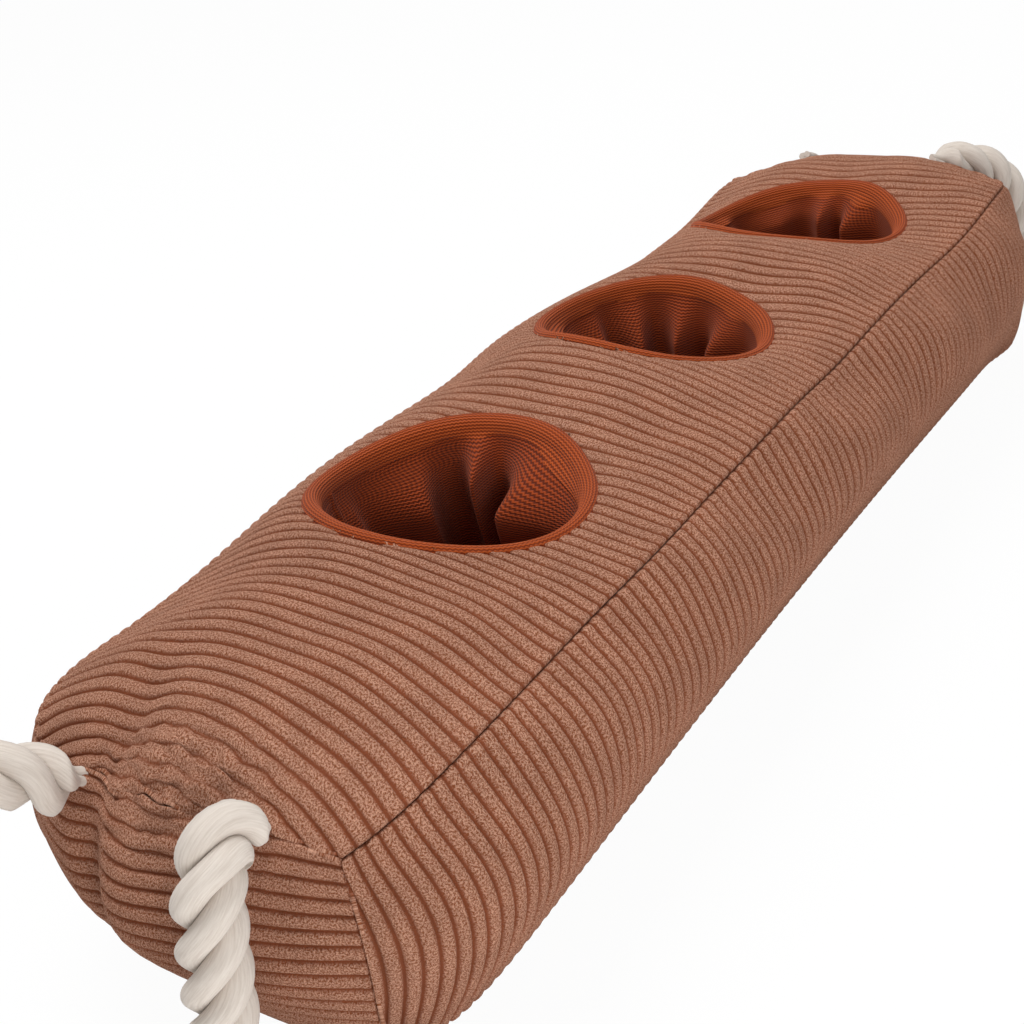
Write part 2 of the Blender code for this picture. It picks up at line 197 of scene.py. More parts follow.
def grid_object(name: str, points: np.ndarray, uv: np.ndarray, outwards: Sequence[float],
                keep: np.ndarray | None = None, closed: bool = False,
                layers: dict[str, np.ndarray] | None = None) -> bpy.types.Object:
    """Make a smooth mesh object from a grid of points.

    Args:
        name: Name of the object.
        points: Places, shaped rows by columns by three.
        uv: Cloth coordinates in metres, one column more than the points on a closed grid.
        outwards: Direction that the faces have to look in, or the middle one of a closed grid.
        keep: Which faces are kept, or None for all.
        closed: Whether the last column joins the first.
        layers: Number attributes by name, shaped rows by columns.

    Returns:
        The object, in the scene.
    """
    rows, columns = points.shape[:2]
    spans = columns if closed else columns - 1
    row, column = np.meshgrid(np.arange(rows - 1), np.arange(spans), indexing="ij")
    after = (column + 1) % columns
    corners = np.stack([row * columns + column, row * columns + after,
                        (row + 1) * columns + after, (row + 1) * columns + column], -1)
    uv_corners = np.stack([uv[row, column], uv[row, column + 1],
                           uv[row + 1, column + 1], uv[row + 1, column]], -2)
    chosen = np.ones(row.shape, bool) if keep is None else keep
    faces, face_uv = corners[chosen], uv_corners[chosen]
    flat = points.reshape(-1, 3)
    normals = np.cross(flat[faces[:, 2]] - flat[faces[:, 0]], flat[faces[:, 3]] - flat[faces[:, 1]])
    looks = normals[len(faces) // 2] if closed else normals.sum(axis=0)
    if float(looks @ np.asarray(outwards, float)) < 0:
        faces, face_uv = faces[:, ::-1], face_uv[:, ::-1]
    used, faces = np.unique(faces, return_inverse=True)
    faces = faces.reshape(-1, 4)
    mesh = bpy.data.meshes.new(name)
    mesh.vertices.add(len(used))
    mesh.vertices.foreach_set("co", flat[used].astype(np.float32).ravel())
    mesh.loops.add(faces.size)
    mesh.loops.foreach_set("vertex_index", faces.astype(np.int32).ravel())
    mesh.polygons.add(len(faces))
    mesh.polygons.foreach_set("loop_start", np.arange(0, faces.size, 4, dtype=np.int32))
    layer = mesh.uv_layers.new(name="cloth")
    layer.uv.foreach_set("vector", face_uv.astype(np.float32).ravel())
    for title, values in (layers or {}).items():
        attribute = mesh.attributes.new(title, "FLOAT", "POINT")
        attribute.data.foreach_set("value", values.reshape(-1)[used].astype(np.float32))
    mesh.update()
    mesh.validate()
    mesh.shade_smooth()
    return scene_object(name, mesh)


def grid_normals(points: np.ndarray, closed: bool = False) -> np.ndarray:
    """Work out the unit normals of a grid of points.

    Args:
        points: Places, shaped rows by columns by three.
        closed: Whether the last column joins the first.

    Returns:
        Normals of the same shape.
    """
    down = np.gradient(points, axis=0)
    if closed:
        along = np.roll(points, -1, axis=1) - np.roll(points, 1, axis=1)
    else:
        along = np.gradient(points, axis=1)
    normal = np.cross(along, down)
    return normal / np.maximum(np.linalg.norm(normal, axis=-1, keepdims=True), SMALLEST_NORMAL)


def thicken(made: bpy.types.Object, title: str, thickness: float) -> None:
    """Give a sheet its thickness, on its inner side.

    Args:
        made: The sheet.
        title: Name of the modifier.
        thickness: How thick the cloth is, in metres.
    """
    solid = made.modifiers.new(title, "SOLIDIFY")
    solid.thickness = thickness
    solid.offset = -1


def settle_piece(made: bpy.types.Object, finish: bpy.types.Material, body: Body,
                 replaces: Sequence[str] = ()) -> None:
    """Give a finished piece its material and body, and hide the CAD nodes that it stands for.

    Args:
        made: The piece.
        finish: Its material.
        body: The body that it rides on.
        replaces: CAD nodes that it stands for.
    """
    made.data.materials.clear()
    made.data.materials.append(finish)
    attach(made, body.value)
    if replaces:
        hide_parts(*replaces)
    log.info("%s rides on %s, %d faces", made.name, body.value, len(made.data.polygons))


def catmull_rom(route: Sequence[Point], per_stretch: int) -> np.ndarray:
    """Draw a centripetal curve through the points of a route.

    Args:
        route: The points, first and last included.
        per_stretch: Steps between two neighbouring points.

    Returns:
        The curve's points, shaped count by three.
    """
    points = np.asarray(route, float)
    held = np.vstack([2 * points[0] - points[1], points, 2 * points[-1] - points[-2]])
    drawn = []
    for index in range(1, len(held) - 2):
        four = held[index - 1:index + 3]
        gaps = np.sqrt(np.linalg.norm(np.diff(four, axis=0), axis=1))
        knots = np.concatenate([[0.0], np.cumsum(gaps)])
        here = knots[1] + (knots[2] - knots[1]) * np.arange(per_stretch)[:, None] / per_stretch

        def blend(low: int, high: int, start: np.ndarray, end: np.ndarray) -> np.ndarray:
            """Blend two points by where the curve is between two knots."""
            part = (here - knots[low]) / (knots[high] - knots[low])
            return start * (1 - part) + end * part

        first = [blend(step, step + 1, four[step], four[step + 1]) for step in range(3)]
        second = [blend(step, step + 2, first[step], first[step + 1]) for step in range(2)]
        drawn.append(blend(1, 2, second[0], second[1]))
    drawn.append(points[-1:])
    return np.vstack(drawn)


def at_even_steps(curve: np.ndarray, count: int) -> np.ndarray:
    """Place a number of points at even steps along a curve.

    Args:
        curve: The curve's points.
        count: How many points to place.

    Returns:
        The placed points, shaped count by three.
    """
    gaps = np.linalg.norm(np.diff(curve, axis=0), axis=1)
    run = np.concatenate([[0.0], np.cumsum(gaps)])
    wanted = np.linspace(0, run[-1], count)
    return np.stack([np.interp(wanted, run, curve[:, axis]) for axis in range(3)], -1)


# The stuffed form


@dataclass(frozen=True)
class Pull:
    """A place where the filling pushes the cloth out or a seam draws it in."""

    centre: Point
    reach: Point
    shift: Point

    def at(self, points: np.ndarray) -> np.ndarray:
        """Tell how far each point is moved."""
        away = (points - np.array(self.centre)) / np.array(self.reach)
        return np.exp(-np.sum(away ** 2, axis=-1))[..., None] * np.array(self.shift)


@dataclass(frozen=True)
class Seat:
    """How a pocket sits in the top: shifted and tilted with the cloth round it.

    The tilt is how far it rises for each metre along and across the cover.
    """

    x: float
    shift: Point
    tilt: tuple[float, float]
    reach: float = 0.060
    low_z: float = 0.050
    high_z: float = 0.085

    def at(self, points: np.ndarray) -> np.ndarray:
        """Tell how far each point is moved.

        Args:
            points: Places on the even form.

        Returns:
            The shifts, with a last axis of three.
        """
        along, across = points[..., 0] - self.x, points[..., 1]
        near = np.exp(-(np.hypot(along, across) / self.reach) ** 4)
        near = near * smooth_step((points[..., 2] - self.low_z) / (self.high_z - self.low_z))
        moved = np.broadcast_to(np.array(self.shift), points.shape).copy()
        moved[..., 2] += self.tilt[0] * along + self.tilt[1] * across
        return near[..., None] * moved


@dataclass(frozen=True)
class CoverForm:
    """The stuffed cover's form, which all its panels follow.

    Lengths are in metres. Pulls are measured from the photograph, and each is placed in
    the cover where the cloth is drawn in or pushed out.
    """

    length: float = 0.500
    width: float = 0.142
    height: float = 0.078
    top_crown: float = 0.020
    bottom_crown: float = 0.009
    side_crown: float = 0.0185
    end_crown: float = 0.024
    end_seam_bulge: float = 0.006
    left_draw_width: float = 0.0105
    left_draw_height: float = 0.0063
    right_draw: float = 0.002
    draw_length: float = 0.012
    left_crown_share: float = 0.3
    right_crown_share: float = 0.6
    end_bulge_power: float = 16.0
    bottom_crown_power: float = 4.0
    seam_middle_z: float = 0.0475
    lump: float = 0.0009
    lump_size: float = 0.055
    lump_seed: int = 11
    pucker_centre: Point = (-0.252, -0.008, 0.086)
    pucker_reach: Point = (0.015, 0.033, 0.016)
    pucker: float = 0.0008
    pucker_size: float = 0.008
    pucker_seeds: tuple[int, int] = (21, 22)
    matted_reach: Point = (0.022, 0.036, 0.022)
    pulls: tuple[Pull, ...] = (
        # The back of the left end is drawn in and stands higher than its front
        Pull((-0.252, 0.068, 0.086), (0.050, 0.033, 0.045), (0.0, -0.012, 0.0080)),
        Pull((-0.252, 0.070, 0.020), (0.045, 0.040, 0.040), (0.005, -0.008, 0.002)),
        Pull((-0.272, 0.020, 0.024), (0.040, 0.060, 0.028), (0.0083, 0.0, 0.0)),
        # Crease down the left end panel, with the cloth pushed out in front of it
        Pull((-0.272, 0.021, 0.066), (0.030, 0.007, 0.026), (0.0055, 0.0, 0.0)),
        Pull((-0.272, 0.004, 0.058), (0.030, 0.012, 0.026), (-0.0025, 0.0, 0.0)),
        # Valley that runs from the rope seam up on to the top panel
        Pull((-0.244, 0.016, 0.090), (0.014, 0.008, 0.030), (0.0, 0.0, -0.0040)),
        Pull((-0.228, 0.022, 0.098), (0.016, 0.010, 0.030), (0.0, 0.0, -0.0030)),
        # The low front corner of the right end pokes out, and the side above it is slack
        Pull((0.250, -0.072, 0.010), (0.022, 0.020, 0.024), (0.001, -0.004, -0.004)),
        Pull((0.250, -0.080, 0.050), (0.035, 0.030, 0.030), (0.0, 0.006, 0.0)),
        # The far part of the top has sunk, most of all along its back edge
        Pull((0.235, 0.030, 0.106), (0.040, 0.060, 0.050), (0.0, 0.0, -0.0018)),
        Pull((0.150, 0.068, 0.088), (0.085, 0.032, 0.040), (0.0, -0.0017, -0.0111)),
        Pull((0.195, 0.062, 0.092), (0.050, 0.034, 0.045), (0.0, 0.0024, -0.0026)),
        # Filling has gathered between the pockets and left the back edge uneven
        Pull((0.080, 0.062, 0.092), (0.040, 0.034, 0.045), (0.0, -0.0005, 0.0050)),
        Pull((-0.030, 0.062, 0.092), (0.040, 0.034, 0.045), (0.0, -0.0080, 0.0048)),
        Pull((-0.170, 0.062, 0.092), (0.040, 0.034, 0.045), (0.0, 0.0031, -0.0061)),
        Pull((0.037, -0.050, 0.095), (0.055, 0.030, 0.040), (0.0, 0.0, 0.0018)),
        Pull((-0.102, -0.050, 0.095), (0.055, 0.030, 0.040), (0.0, 0.0, 0.0021)),
        # The front hangs slack along its foot
        Pull((0.020, -0.088, 0.018), (0.260, 0.034, 0.028), (0.0, 0.0085, 0.001)),
    )
    seats: tuple[Seat, ...] = (
        Seat(POCKET_PLACES[0], (-0.0066, -0.0012, 0.0013), (-0.061, 0.151)),
        Seat(POCKET_PLACES[1], (0.0013, 0.0040, -0.0046), (-0.188, 0.125)),
        Seat(POCKET_PLACES[2], (-0.0012, 0.0018, -0.0085), (-0.089, 0.130)),
    )

    def plain_point(self, along: np.ndarray, across: np.ndarray, up: np.ndarray,
                    inset: np.ndarray | float = 0.0) -> np.ndarray:
        """Place points of the unit cube's faces on the even form.

        Args:
            along: From -1 at the left end to 1 at the right end.
            across: From -1 at the front to 1 at the back.
            up: From -1 at the bottom to 1 at the top.
            inset: How far inside the form, in metres.

        Returns:
            The places, with a last axis of three.
        """
        half_length = self.length / 2
        left_pull = np.exp(-half_length * (1 + along) / self.draw_length)
        right_pull = np.exp(-half_length * (1 - along) / self.draw_length)
        crown_share = (1 - (1 - self.left_crown_share) * left_pull
                       - (1 - self.right_crown_share) * right_pull)
        half_width = self.width / 2 - self.left_draw_width * left_pull - self.right_draw * right_pull
        half_height = (self.height / 2 - self.left_draw_height * left_pull
                       - self.right_draw * right_pull)
        across_room = 1 - across ** 2
        up_room = 1 - up ** 2
        crown = np.where(up > 0, self.top_crown * across_room,
                         self.bottom_crown * (1 - np.abs(across) ** self.bottom_crown_power))
        middle_reach = (self.end_crown - 2 * self.end_seam_bulge) * across_room * up_room
        end_reach = self.end_seam_bulge * (across_room + up_room) + middle_reach
        end_share = np.copysign(np.abs(along) ** self.end_bulge_power, along)
        x = along * (half_length - inset) + end_share * end_reach
        y = across * (half_width - inset + self.side_crown * up_room * crown_share)
        z = up * (half_height - inset + crown * crown_share) + self.seam_middle_z
        return np.stack(np.broadcast_arrays(x, y, z), -1)

    def settled(self, points: np.ndarray) -> np.ndarray:
        """Move points of the even form to where the uneven filling leaves them.

        Args:
            points: Places on the even form.

        Returns:
            The moved places, none under the floor.
        """
        moved = points.copy()
        for mover in (*self.pulls, *self.seats):
            moved = moved + mover.at(points)
        over_floor = smooth_step(points[..., 2] / self.seam_middle_z)
        lumps = drift(points[..., 0], points[..., 1] + points[..., 2], self.lump_size,
                      self.lump_seed)
        sideways = np.tanh(points[..., 1] / self.lump_size)
        moved[..., 1] += sideways * self.lump * lumps * over_floor
        moved[..., 2] += self.lump * lumps * over_floor
        away = (points - np.array(self.pucker_centre)) / np.array(self.pucker_reach)
        drawn = self.pucker * np.exp(-np.sum(away ** 4, axis=-1))
        below = points[..., 0] + points[..., 2]
        for axis, seed in zip((0, 2), self.pucker_seeds):
            moved[..., axis] += drawn * drift(points[..., 1], below, self.pucker_size, seed)
        moved[..., 2] = np.maximum(moved[..., 2], 0.0)
        return moved

    def point(self, along: np.ndarray, across: np.ndarray, up: np.ndarray,
              inset: np.ndarray | float = 0.0) -> np.ndarray:
        """Place points of the unit cube's faces on the settled form."""
        return self.settled(self.plain_point(along, across, up, inset))

    def matted(self, points: np.ndarray) -> np.ndarray:
        """Tell how far sewing in the left rope has laid the pile flat, from 0 to 1."""
        away = (points - np.array(self.pucker_centre)) / np.array(self.matted_reach)
        return np.exp(-np.sum(away ** 2, axis=-1))

    def top_height(self, x: np.ndarray, y: np.ndarray) -> np.ndarray:
        """Tell the even form's height over places of the floor, away from the seams."""
        return self.plain_point(x / (self.length / 2), y / (self.width / 2), np.ones_like(x))[..., 2]


# Finishes


@dataclass(frozen=True)
class CorduroyFinish:
    """Jumbo corduroy: cut cotton pile in wide wales on a plain ground weave.

    The brushed tufts scatter light, so the wales look matt and mottled. The pits between
    the tufts and the grooves between the wales are painted darker, as shade, and rust threads
    of the ground weave show as dots in the deepest grooves. Single fibres are too fine to
    show, so they are drawn as bunches a quarter of a millimetre wide.
    """

    tip_colour: str = "#D8A48A"
    # Painted shade: the pits between the tufts, where the nap's relief sinks
    pit_shade_colour: str = "#8E4E2E"
    # Painted shade: the grooves between the wales, less of it where the pile lies matted
    groove_shade_colour: str = "#8E4C30"
    ground_thread_colour: str = "#B86C30"
    tuft_mm: float = 0.60
    fibre_mm: float = 0.25
    brushed_patch_mm: float = 15.0
    nap_depth: float = 0.00070
    groove_share: float = 0.36
    crown_share: float = 0.98
    tuft_weight: float = 1.6
    tuft_detail: float = 2.5
    tuft_roughness: float = 0.65
    fibre_detail: float = 2.0
    patch_detail: float = 3.0
    tip_range: tuple[float, float] = (1.12, 1.48)
    patch_range: tuple[float, float] = (0.35, 0.65)
    patch_light: tuple[float, float] = (0.94, 1.05)
    thread_range: tuple[float, float] = (0.55, 0.70)
    thread_depth_share: float = 0.30
    thread_share: float = 0.6
    nap_strength: float = 0.9
    roughness: float = 0.95
    specular: float = 0.15
    sheen: float = 0.08
    sheen_roughness: float = 0.45
    sheen_colour: str = "#D9AE94"

    def material(self) -> bpy.types.Material:
        """Build the material.

        Returns:
            The material.
        """
        made, tree, shader = new_material("brown_jumbo_corduroy")
        cloth = add_node(tree, "ShaderNodeUVMap", {"uv_map": "cloth"})
        in_mm = add_node(tree, "ShaderNodeVectorMath", {"operation": "SCALE"},
                         {0: cloth.outputs["UV"], "Scale": MM})
        wale = add_node(tree, "ShaderNodeAttribute", {"attribute_name": "wale"})
        tufts = add_node(tree, "ShaderNodeTexNoise", {"noise_dimensions": "2D"},
                         {"Vector": in_mm.outputs[0], "Scale": 1 / self.tuft_mm,
                          "Detail": self.tuft_detail, "Roughness": self.tuft_roughness})
        fibres = add_node(tree, "ShaderNodeTexNoise", {"noise_dimensions": "2D"},
                          {"Vector": in_mm.outputs[0], "Scale": 1 / self.fibre_mm,
                           "Detail": self.fibre_detail})
        patches = add_node(tree, "ShaderNodeTexNoise", {"noise_dimensions": "2D"},
                           {"Vector": in_mm.outputs[0], "Scale": 1 / self.brushed_patch_mm,
                            "Detail": self.patch_detail})
        mixed_nap = add_node(tree, "ShaderNodeMath", {"operation": "MULTIPLY_ADD"},
                             {0: tufts.outputs["Fac"], 1: self.tuft_weight,
                              2: fibres.outputs["Fac"]})
        # Painted shade: the nap darkens into its pits by the same height that the bump uses
        tipped = add_node(tree, "ShaderNodeMapRange", None,
                          {"Value": mixed_nap.outputs[0], "From Min": self.tip_range[0],
                           "From Max": self.tip_range[1]})
        nap_colour = add_node(tree, "ShaderNodeMix", {"data_type": "RGBA"},
                              {MIX_SHARE: tipped.outputs[0], MIX_FIRST: linear(self.pit_shade_colour),
                               MIX_SECOND: linear(self.tip_colour)})
        # Painted shade: the colour darkens towards the bottom of each groove
        out_of_groove = add_node(tree, "ShaderNodeMapRange", {"interpolation_type": "SMOOTHSTEP"},
                                 {"Value": wale.outputs["Fac"], "From Min": self.groove_share,
                                  "From Max": self.crown_share})
        wale_colour = add_node(tree, "ShaderNodeMix", {"data_type": "RGBA"},
                               {MIX_SHARE: out_of_groove.outputs[0], MIX_FIRST: linear(self.groove_shade_colour),
                                MIX_SECOND: nap_colour.outputs[MIXED]})
        light = add_node(tree, "ShaderNodeMapRange", None,
                         {"Value": patches.outputs["Fac"], "From Min": self.patch_range[0],
                          "From Max": self.patch_range[1], "To Min": self.patch_light[0],
                          "To Max": self.patch_light[1]})
        dots = add_node(tree, "ShaderNodeMapRange", None,
                        {"Value": fibres.outputs["Fac"], "From Min": self.thread_range[0],
                         "From Max": self.thread_range[1]})
        in_groove = add_node(tree, "ShaderNodeMapRange", None,
                             {"Value": wale.outputs["Fac"], "From Max": self.thread_depth_share,
                              "To Min": self.thread_share, "To Max": 0.0})
        shown = add_node(tree, "ShaderNodeMath", {"operation": "MULTIPLY"},
                         {0: dots.outputs[0], 1: in_groove.outputs[0]})
        shaded = add_node(tree, "ShaderNodeVectorMath", {"operation": "SCALE"},
                          {0: wale_colour.outputs[MIXED], "Scale": light.outputs[0]})
        mixed = add_node(tree, "ShaderNodeMix", {"data_type": "RGBA"},
                         {MIX_SHARE: shown.outputs[0], MIX_FIRST: shaded.outputs[0],
                          MIX_SECOND: linear(self.ground_thread_colour)})
        bump = add_node(tree, "ShaderNodeBump", None,
                        {"Strength": self.nap_strength, "Distance": self.nap_depth,
                         "Height": mixed_nap.outputs[0]})
        set_inputs(tree, shader, {
            "Base Color": mixed.outputs[MIXED], "Normal": bump.outputs["Normal"],
            "Roughness": self.roughness, "Specular IOR Level": self.specular,
            "Sheen Weight": self.sheen, "Sheen Roughness": self.sheen_roughness,
            "Sheen Tint": linear(self.sheen_colour)})
        return made


@dataclass(frozen=True)
class KnitFinish:
    """Rust rib knit: fine zigzag courses of a dyed cotton and polyester yarn.

    The loops stand in rows that lie along the rim, so the band shows fine ridges, and the
    dye is so strong that the light gets redder the deeper it goes into a pocket. The yarn's
    own fibres are too fine to show, so they are drawn 0.35 mm wide.
    """

    title: str = "rust_rib_knit"
    ridge_colour: str = "#B6521E"
    # Painted shade: the furrows between the ridges
    furrow_shade_colour: str = "#702605"
    course_mm: float = 1.1
    zigzag_mm: float = 1.7
    zigzag_height_mm: float = 0.38
    yarn_mm: float = 0.35
    yarn_detail: float = 2.0
    yarn_weight: float = 0.8
    shade_range: tuple[float, float] = (-0.7, 1.4)
    relief: float = 0.00035
    relief_strength: float = 0.7
    roughness: float = 0.88
    specular: float = 0.2
    sheen: float = 0.05
    sheen_roughness: float = 0.5

    def material(self) -> bpy.types.Material:
        """Build the material.

        Returns:
            The material.
        """
        made, tree, shader = new_material(self.title)
        cloth = add_node(tree, "ShaderNodeUVMap", {"uv_map": "cloth"})
        in_mm = add_node(tree, "ShaderNodeVectorMath", {"operation": "SCALE"},
                         {0: cloth.outputs["UV"], "Scale": MM})
        axes = add_node(tree, "ShaderNodeSeparateXYZ", None, {0: in_mm.outputs[0]})
        zigzag = add_node(tree, "ShaderNodeMath", {"operation": "PINGPONG"},
                          {0: axes.outputs["X"], 1: self.zigzag_mm / 2})
        leaning = add_node(tree, "ShaderNodeMath", {"operation": "MULTIPLY_ADD"},
                           {0: zigzag.outputs[0], 1: 2 * self.zigzag_height_mm / self.zigzag_mm,
                            2: axes.outputs["Y"]})
        turns = add_node(tree, "ShaderNodeMath", {"operation": "MULTIPLY"},
                         {0: leaning.outputs[0], 1: FULL_TURN / self.course_mm})
        wave = add_node(tree, "ShaderNodeMath", {"operation": "SINE"}, {0: turns.outputs[0]})
        yarn = add_node(tree, "ShaderNodeTexNoise", {"noise_dimensions": "2D"},
                        {"Vector": in_mm.outputs[0], "Scale": 1 / self.yarn_mm,
                         "Detail": self.yarn_detail})
        height = add_node(tree, "ShaderNodeMath", {"operation": "MULTIPLY_ADD"},
                          {0: yarn.outputs["Fac"], 1: self.yarn_weight, 2: wave.outputs[0]})
        # Painted shade: the colour darkens into the furrows by the same height that the bump uses
        share = add_node(tree, "ShaderNodeMapRange", None,
                         {"Value": height.outputs[0], "From Min": self.shade_range[0],
                          "From Max": self.shade_range[1]})
        colour = add_node(tree, "ShaderNodeMix", {"data_type": "RGBA"},
                          {MIX_SHARE: share.outputs[0], MIX_FIRST: linear(self.furrow_shade_colour),
                           MIX_SECOND: linear(self.ridge_colour)})
        bump = add_node(tree, "ShaderNodeBump", None,
                        {"Strength": self.relief_strength, "Distance": self.relief,
                         "Height": height.outputs[0]})
        set_inputs(tree, shader, {
            "Base Color": colour.outputs[MIXED], "Normal": bump.outputs["Normal"],
            "Roughness": self.roughness, "Specular IOR Level": self.specular,
            "Sheen Weight": self.sheen, "Sheen Roughness": self.sheen_roughness})
        return made


@dataclass(frozen=True)
class CottonRopeFinish:
    """Undyed cotton: soft-spun yarns laid side by side in each strand of the rope.

    The fibres lie nearly along the rope, so each strand shows soft fine lines, warm
    off-white on the raised yarns and greyer where they sink, a painted shade that
    follows the same relief as the bump. The yarn slant is in radians a metre of rope.
    """

    fibre_colour: str = "#D6CCC2"
    shade_colour: str = "#C6BAAF"
    yarn_mm: float = 0.55
    yarn_slant: float = 154.0
    stretch_share: float = 0.10
    yarn_detail: float = 4.0
    yarn_roughness: float = 0.6
    shade_range: tuple[float, float] = (0.32, 0.62)
    relief: float = 0.00030
    relief_strength: float = 0.7
    roughness: float = 0.9
    specular: float = 0.2
    sheen: float = 0.15

    def material(self) -> bpy.types.Material:
        """Build the material.

        Returns:
            The material.
        """
        made, tree, shader = new_material("twisted_undyed_cotton")
        ring = add_node(tree, "ShaderNodeAttribute", {"attribute_name": "ring"})
        run = add_node(tree, "ShaderNodeAttribute", {"attribute_name": "run"})
        angle = add_node(tree, "ShaderNodeMath", {"operation": "MULTIPLY"},
                         {0: run.outputs["Fac"], 1: self.yarn_slant})
        turned = add_node(tree, "ShaderNodeVectorRotate", {"rotation_type": "Z_AXIS"},
                          {"Vector": ring.outputs["Vector"], "Angle": angle.outputs[0]})
        lengthwise = add_node(tree, "ShaderNodeMath", {"operation": "MULTIPLY"},
                              {0: run.outputs["Fac"], 1: self.stretch_share})
        lift = add_node(tree, "ShaderNodeCombineXYZ", None, {"Z": lengthwise.outputs[0]})
        place = add_node(tree, "ShaderNodeVectorMath", {"operation": "ADD"},
                         {0: turned.outputs[0], 1: lift.outputs[0]})
        in_mm = add_node(tree, "ShaderNodeVectorMath", {"operation": "SCALE"},
                         {0: place.outputs[0], "Scale": MM})
        yarns = add_node(tree, "ShaderNodeTexNoise", None,
                         {"Vector": in_mm.outputs[0], "Scale": 1 / self.yarn_mm,
                          "Detail": self.yarn_detail, "Roughness": self.yarn_roughness})
        # Painted shade: greyer where the yarns sink, by the same height that the bump uses
        share = add_node(tree, "ShaderNodeMapRange", None,
                         {"Value": yarns.outputs["Fac"], "From Min": self.shade_range[0],
                          "From Max": self.shade_range[1]})
        colour = add_node(tree, "ShaderNodeMix", {"data_type": "RGBA"},
                          {MIX_SHARE: share.outputs[0], MIX_FIRST: linear(self.shade_colour),
                           MIX_SECOND: linear(self.fibre_colour)})
        bump = add_node(tree, "ShaderNodeBump", None,
                        {"Strength": self.relief_strength, "Distance": self.relief,
                         "Height": yarns.outputs["Fac"]})
        set_inputs(tree, shader, {
            "Base Color": colour.outputs[MIXED], "Normal": bump.outputs["Normal"],
            "Roughness": self.roughness, "Specular IOR Level": self.specular,
            "Sheen Weight": self.sheen})
        return made


@dataclass(frozen=True)
class FibreFinish:
    """Polyester fibre fill: white crimped fibre, seen only if the cover is opened."""

    light_colour: str = "#F2F2EE"
    dark_colour: str = "#D5D5D0"
    clump_mm: float = 4.0
    clump_detail: float = 5.0
    crimp: float = 1.5
    relief: float = 0.001
    relief_strength: float = 0.8
    roughness: float = 0.95

    def material(self) -> bpy.types.Material:
        """Build the material.

        Returns:
            The material.
        """
        made, tree, shader = new_material("white_polyester_fibre")
        place = add_node(tree, "ShaderNodeTexCoord")
        clumps = add_node(tree, "ShaderNodeTexNoise", None,
                          {"Vector": place.outputs["Object"], "Scale": MM / self.clump_mm,
                           "Detail": self.clump_detail, "Distortion": self.crimp})
        # Painted shade: greyer where the clumps sink, by the same height that the bump uses
        colour = add_node(tree, "ShaderNodeMix", {"data_type": "RGBA"},
                          {MIX_SHARE: clumps.outputs["Fac"], MIX_FIRST: linear(self.dark_colour),
                           MIX_SECOND: linear(self.light_colour)})
        bump = add_node(tree, "ShaderNodeBump", None,
                        {"Strength": self.relief_strength, "Distance": self.relief,
                         "Height": clumps.outputs["Fac"]})
        set_inputs(tree, shader, {
            "Base Color": colour.outputs[MIXED], "Normal": bump.outputs["Normal"],
            "Roughness": self.roughness})
        return made


@dataclass(frozen=True)
class ThreadFinish:
    """Spun polyester sewing thread, twisted in two plies.

    It is dark brown with hardly any gloss, and painted shade and highlight on the plies make it lighter
    and darker by turns.
    """

    colour: str = "#3A1E14"
    ply_mm: float = 0.5
    ply_range: tuple[float, float] = (0.3, 0.7)
    ply_shade_and_highlight: tuple[float, float] = (0.7, 1.25)
    roughness: float = 0.75

    def material(self) -> bpy.types.Material:
        """Build the material.

        Returns:
            The material.
        """
        made, tree, shader = new_material("dark_brown_thread")
        place = add_node(tree, "ShaderNodeTexCoord")
        plies = add_node(tree, "ShaderNodeTexNoise", None,
                         {"Vector": place.outputs["Object"], "Scale": MM / self.ply_mm})
        # Painted shade and highlight on the plies: the colour is made lighter and darker by turns
        light = add_node(tree, "ShaderNodeMapRange", None,
                         {"Value": plies.outputs["Fac"], "From Min": self.ply_range[0],
                          "From Max": self.ply_range[1], "To Min": self.ply_shade_and_highlight[0],
                          "To Max": self.ply_shade_and_highlight[1]})
        shaded = add_node(tree, "ShaderNodeVectorMath", {"operation": "SCALE"},
                          {0: linear(self.colour)[:3], "Scale": light.outputs[0]})
        set_inputs(tree, shader, {"Base Color": shaded.outputs[0], "Roughness": self.roughness})
        return made


# Corduroy cover


class Facing(Enum):
    """Which way a cover panel faces: its axis, and the sign along it."""

    TOP = (2, 1)
    BOTTOM = (2, -1)
    FRONT = (1, -1)
    BACK = (1, 1)
    LEFT = (0, -1)
    RIGHT = (0, 1)

    @property
    def axis(self) -> int:
        """The axis that the panel faces."""
        return self.value[0]

    @property
    def sign(self) -> int:
        """Which way along its axis the panel faces."""
        return self.value[1]

    @property
    def wale_axis(self) -> int:
        """The axis along which one wale follows another."""
        return 2 if self.axis == 0 else 0

    @property
    def rib_axis(self) -> int:
        """The axis that the wales run along."""
        return 2 if self.axis == 1 else 1


@dataclass(frozen=True)
class Wales:
    """How the wales of the jumbo corduroy are shaped and how they lie.

    Lengths are in metres. The straightnesses and shares run from 0 to 1.
    """

    pitch: float = 0.00516
    depth: float = 0.0018
    roundness: float = 4.0
    end_reach: float = 0.0018
    bow: float = 0.011
    bow_zone: float = 0.110
    end_straightness: float = 0.5
    side_straightness: float = 0.4
    wander: float = 0.0005
    wander_size: float = 0.045
    wander_seed: int = 7
    wander_start_wales: int = 4
    ground_share: float = 0.56
    matted_share: float = 0.6
    cloth: float = 0.0011


@dataclass(frozen=True)
class Opening:
    """A round opening in the top panel."""

    x: float
    radius: float = 0.0468
    lip_drop: float = 0.0016
    lip_reach: float = 0.0035


@dataclass
class ClothGrid:
    """A panel's grid: where its points lie on the face, and how far away the seams are."""

    wale: np.ndarray
    rib: np.ndarray
    run: np.ndarray
    wale_room: np.ndarray
    rib_room: np.ndarray
    end_room: np.ndarray
    turned: np.ndarray
    keep: np.ndarray

    @property
    def room(self) -> np.ndarray:
        """Distances to the nearest seam, in metres."""
        return np.minimum(self.wale_room, self.rib_room)


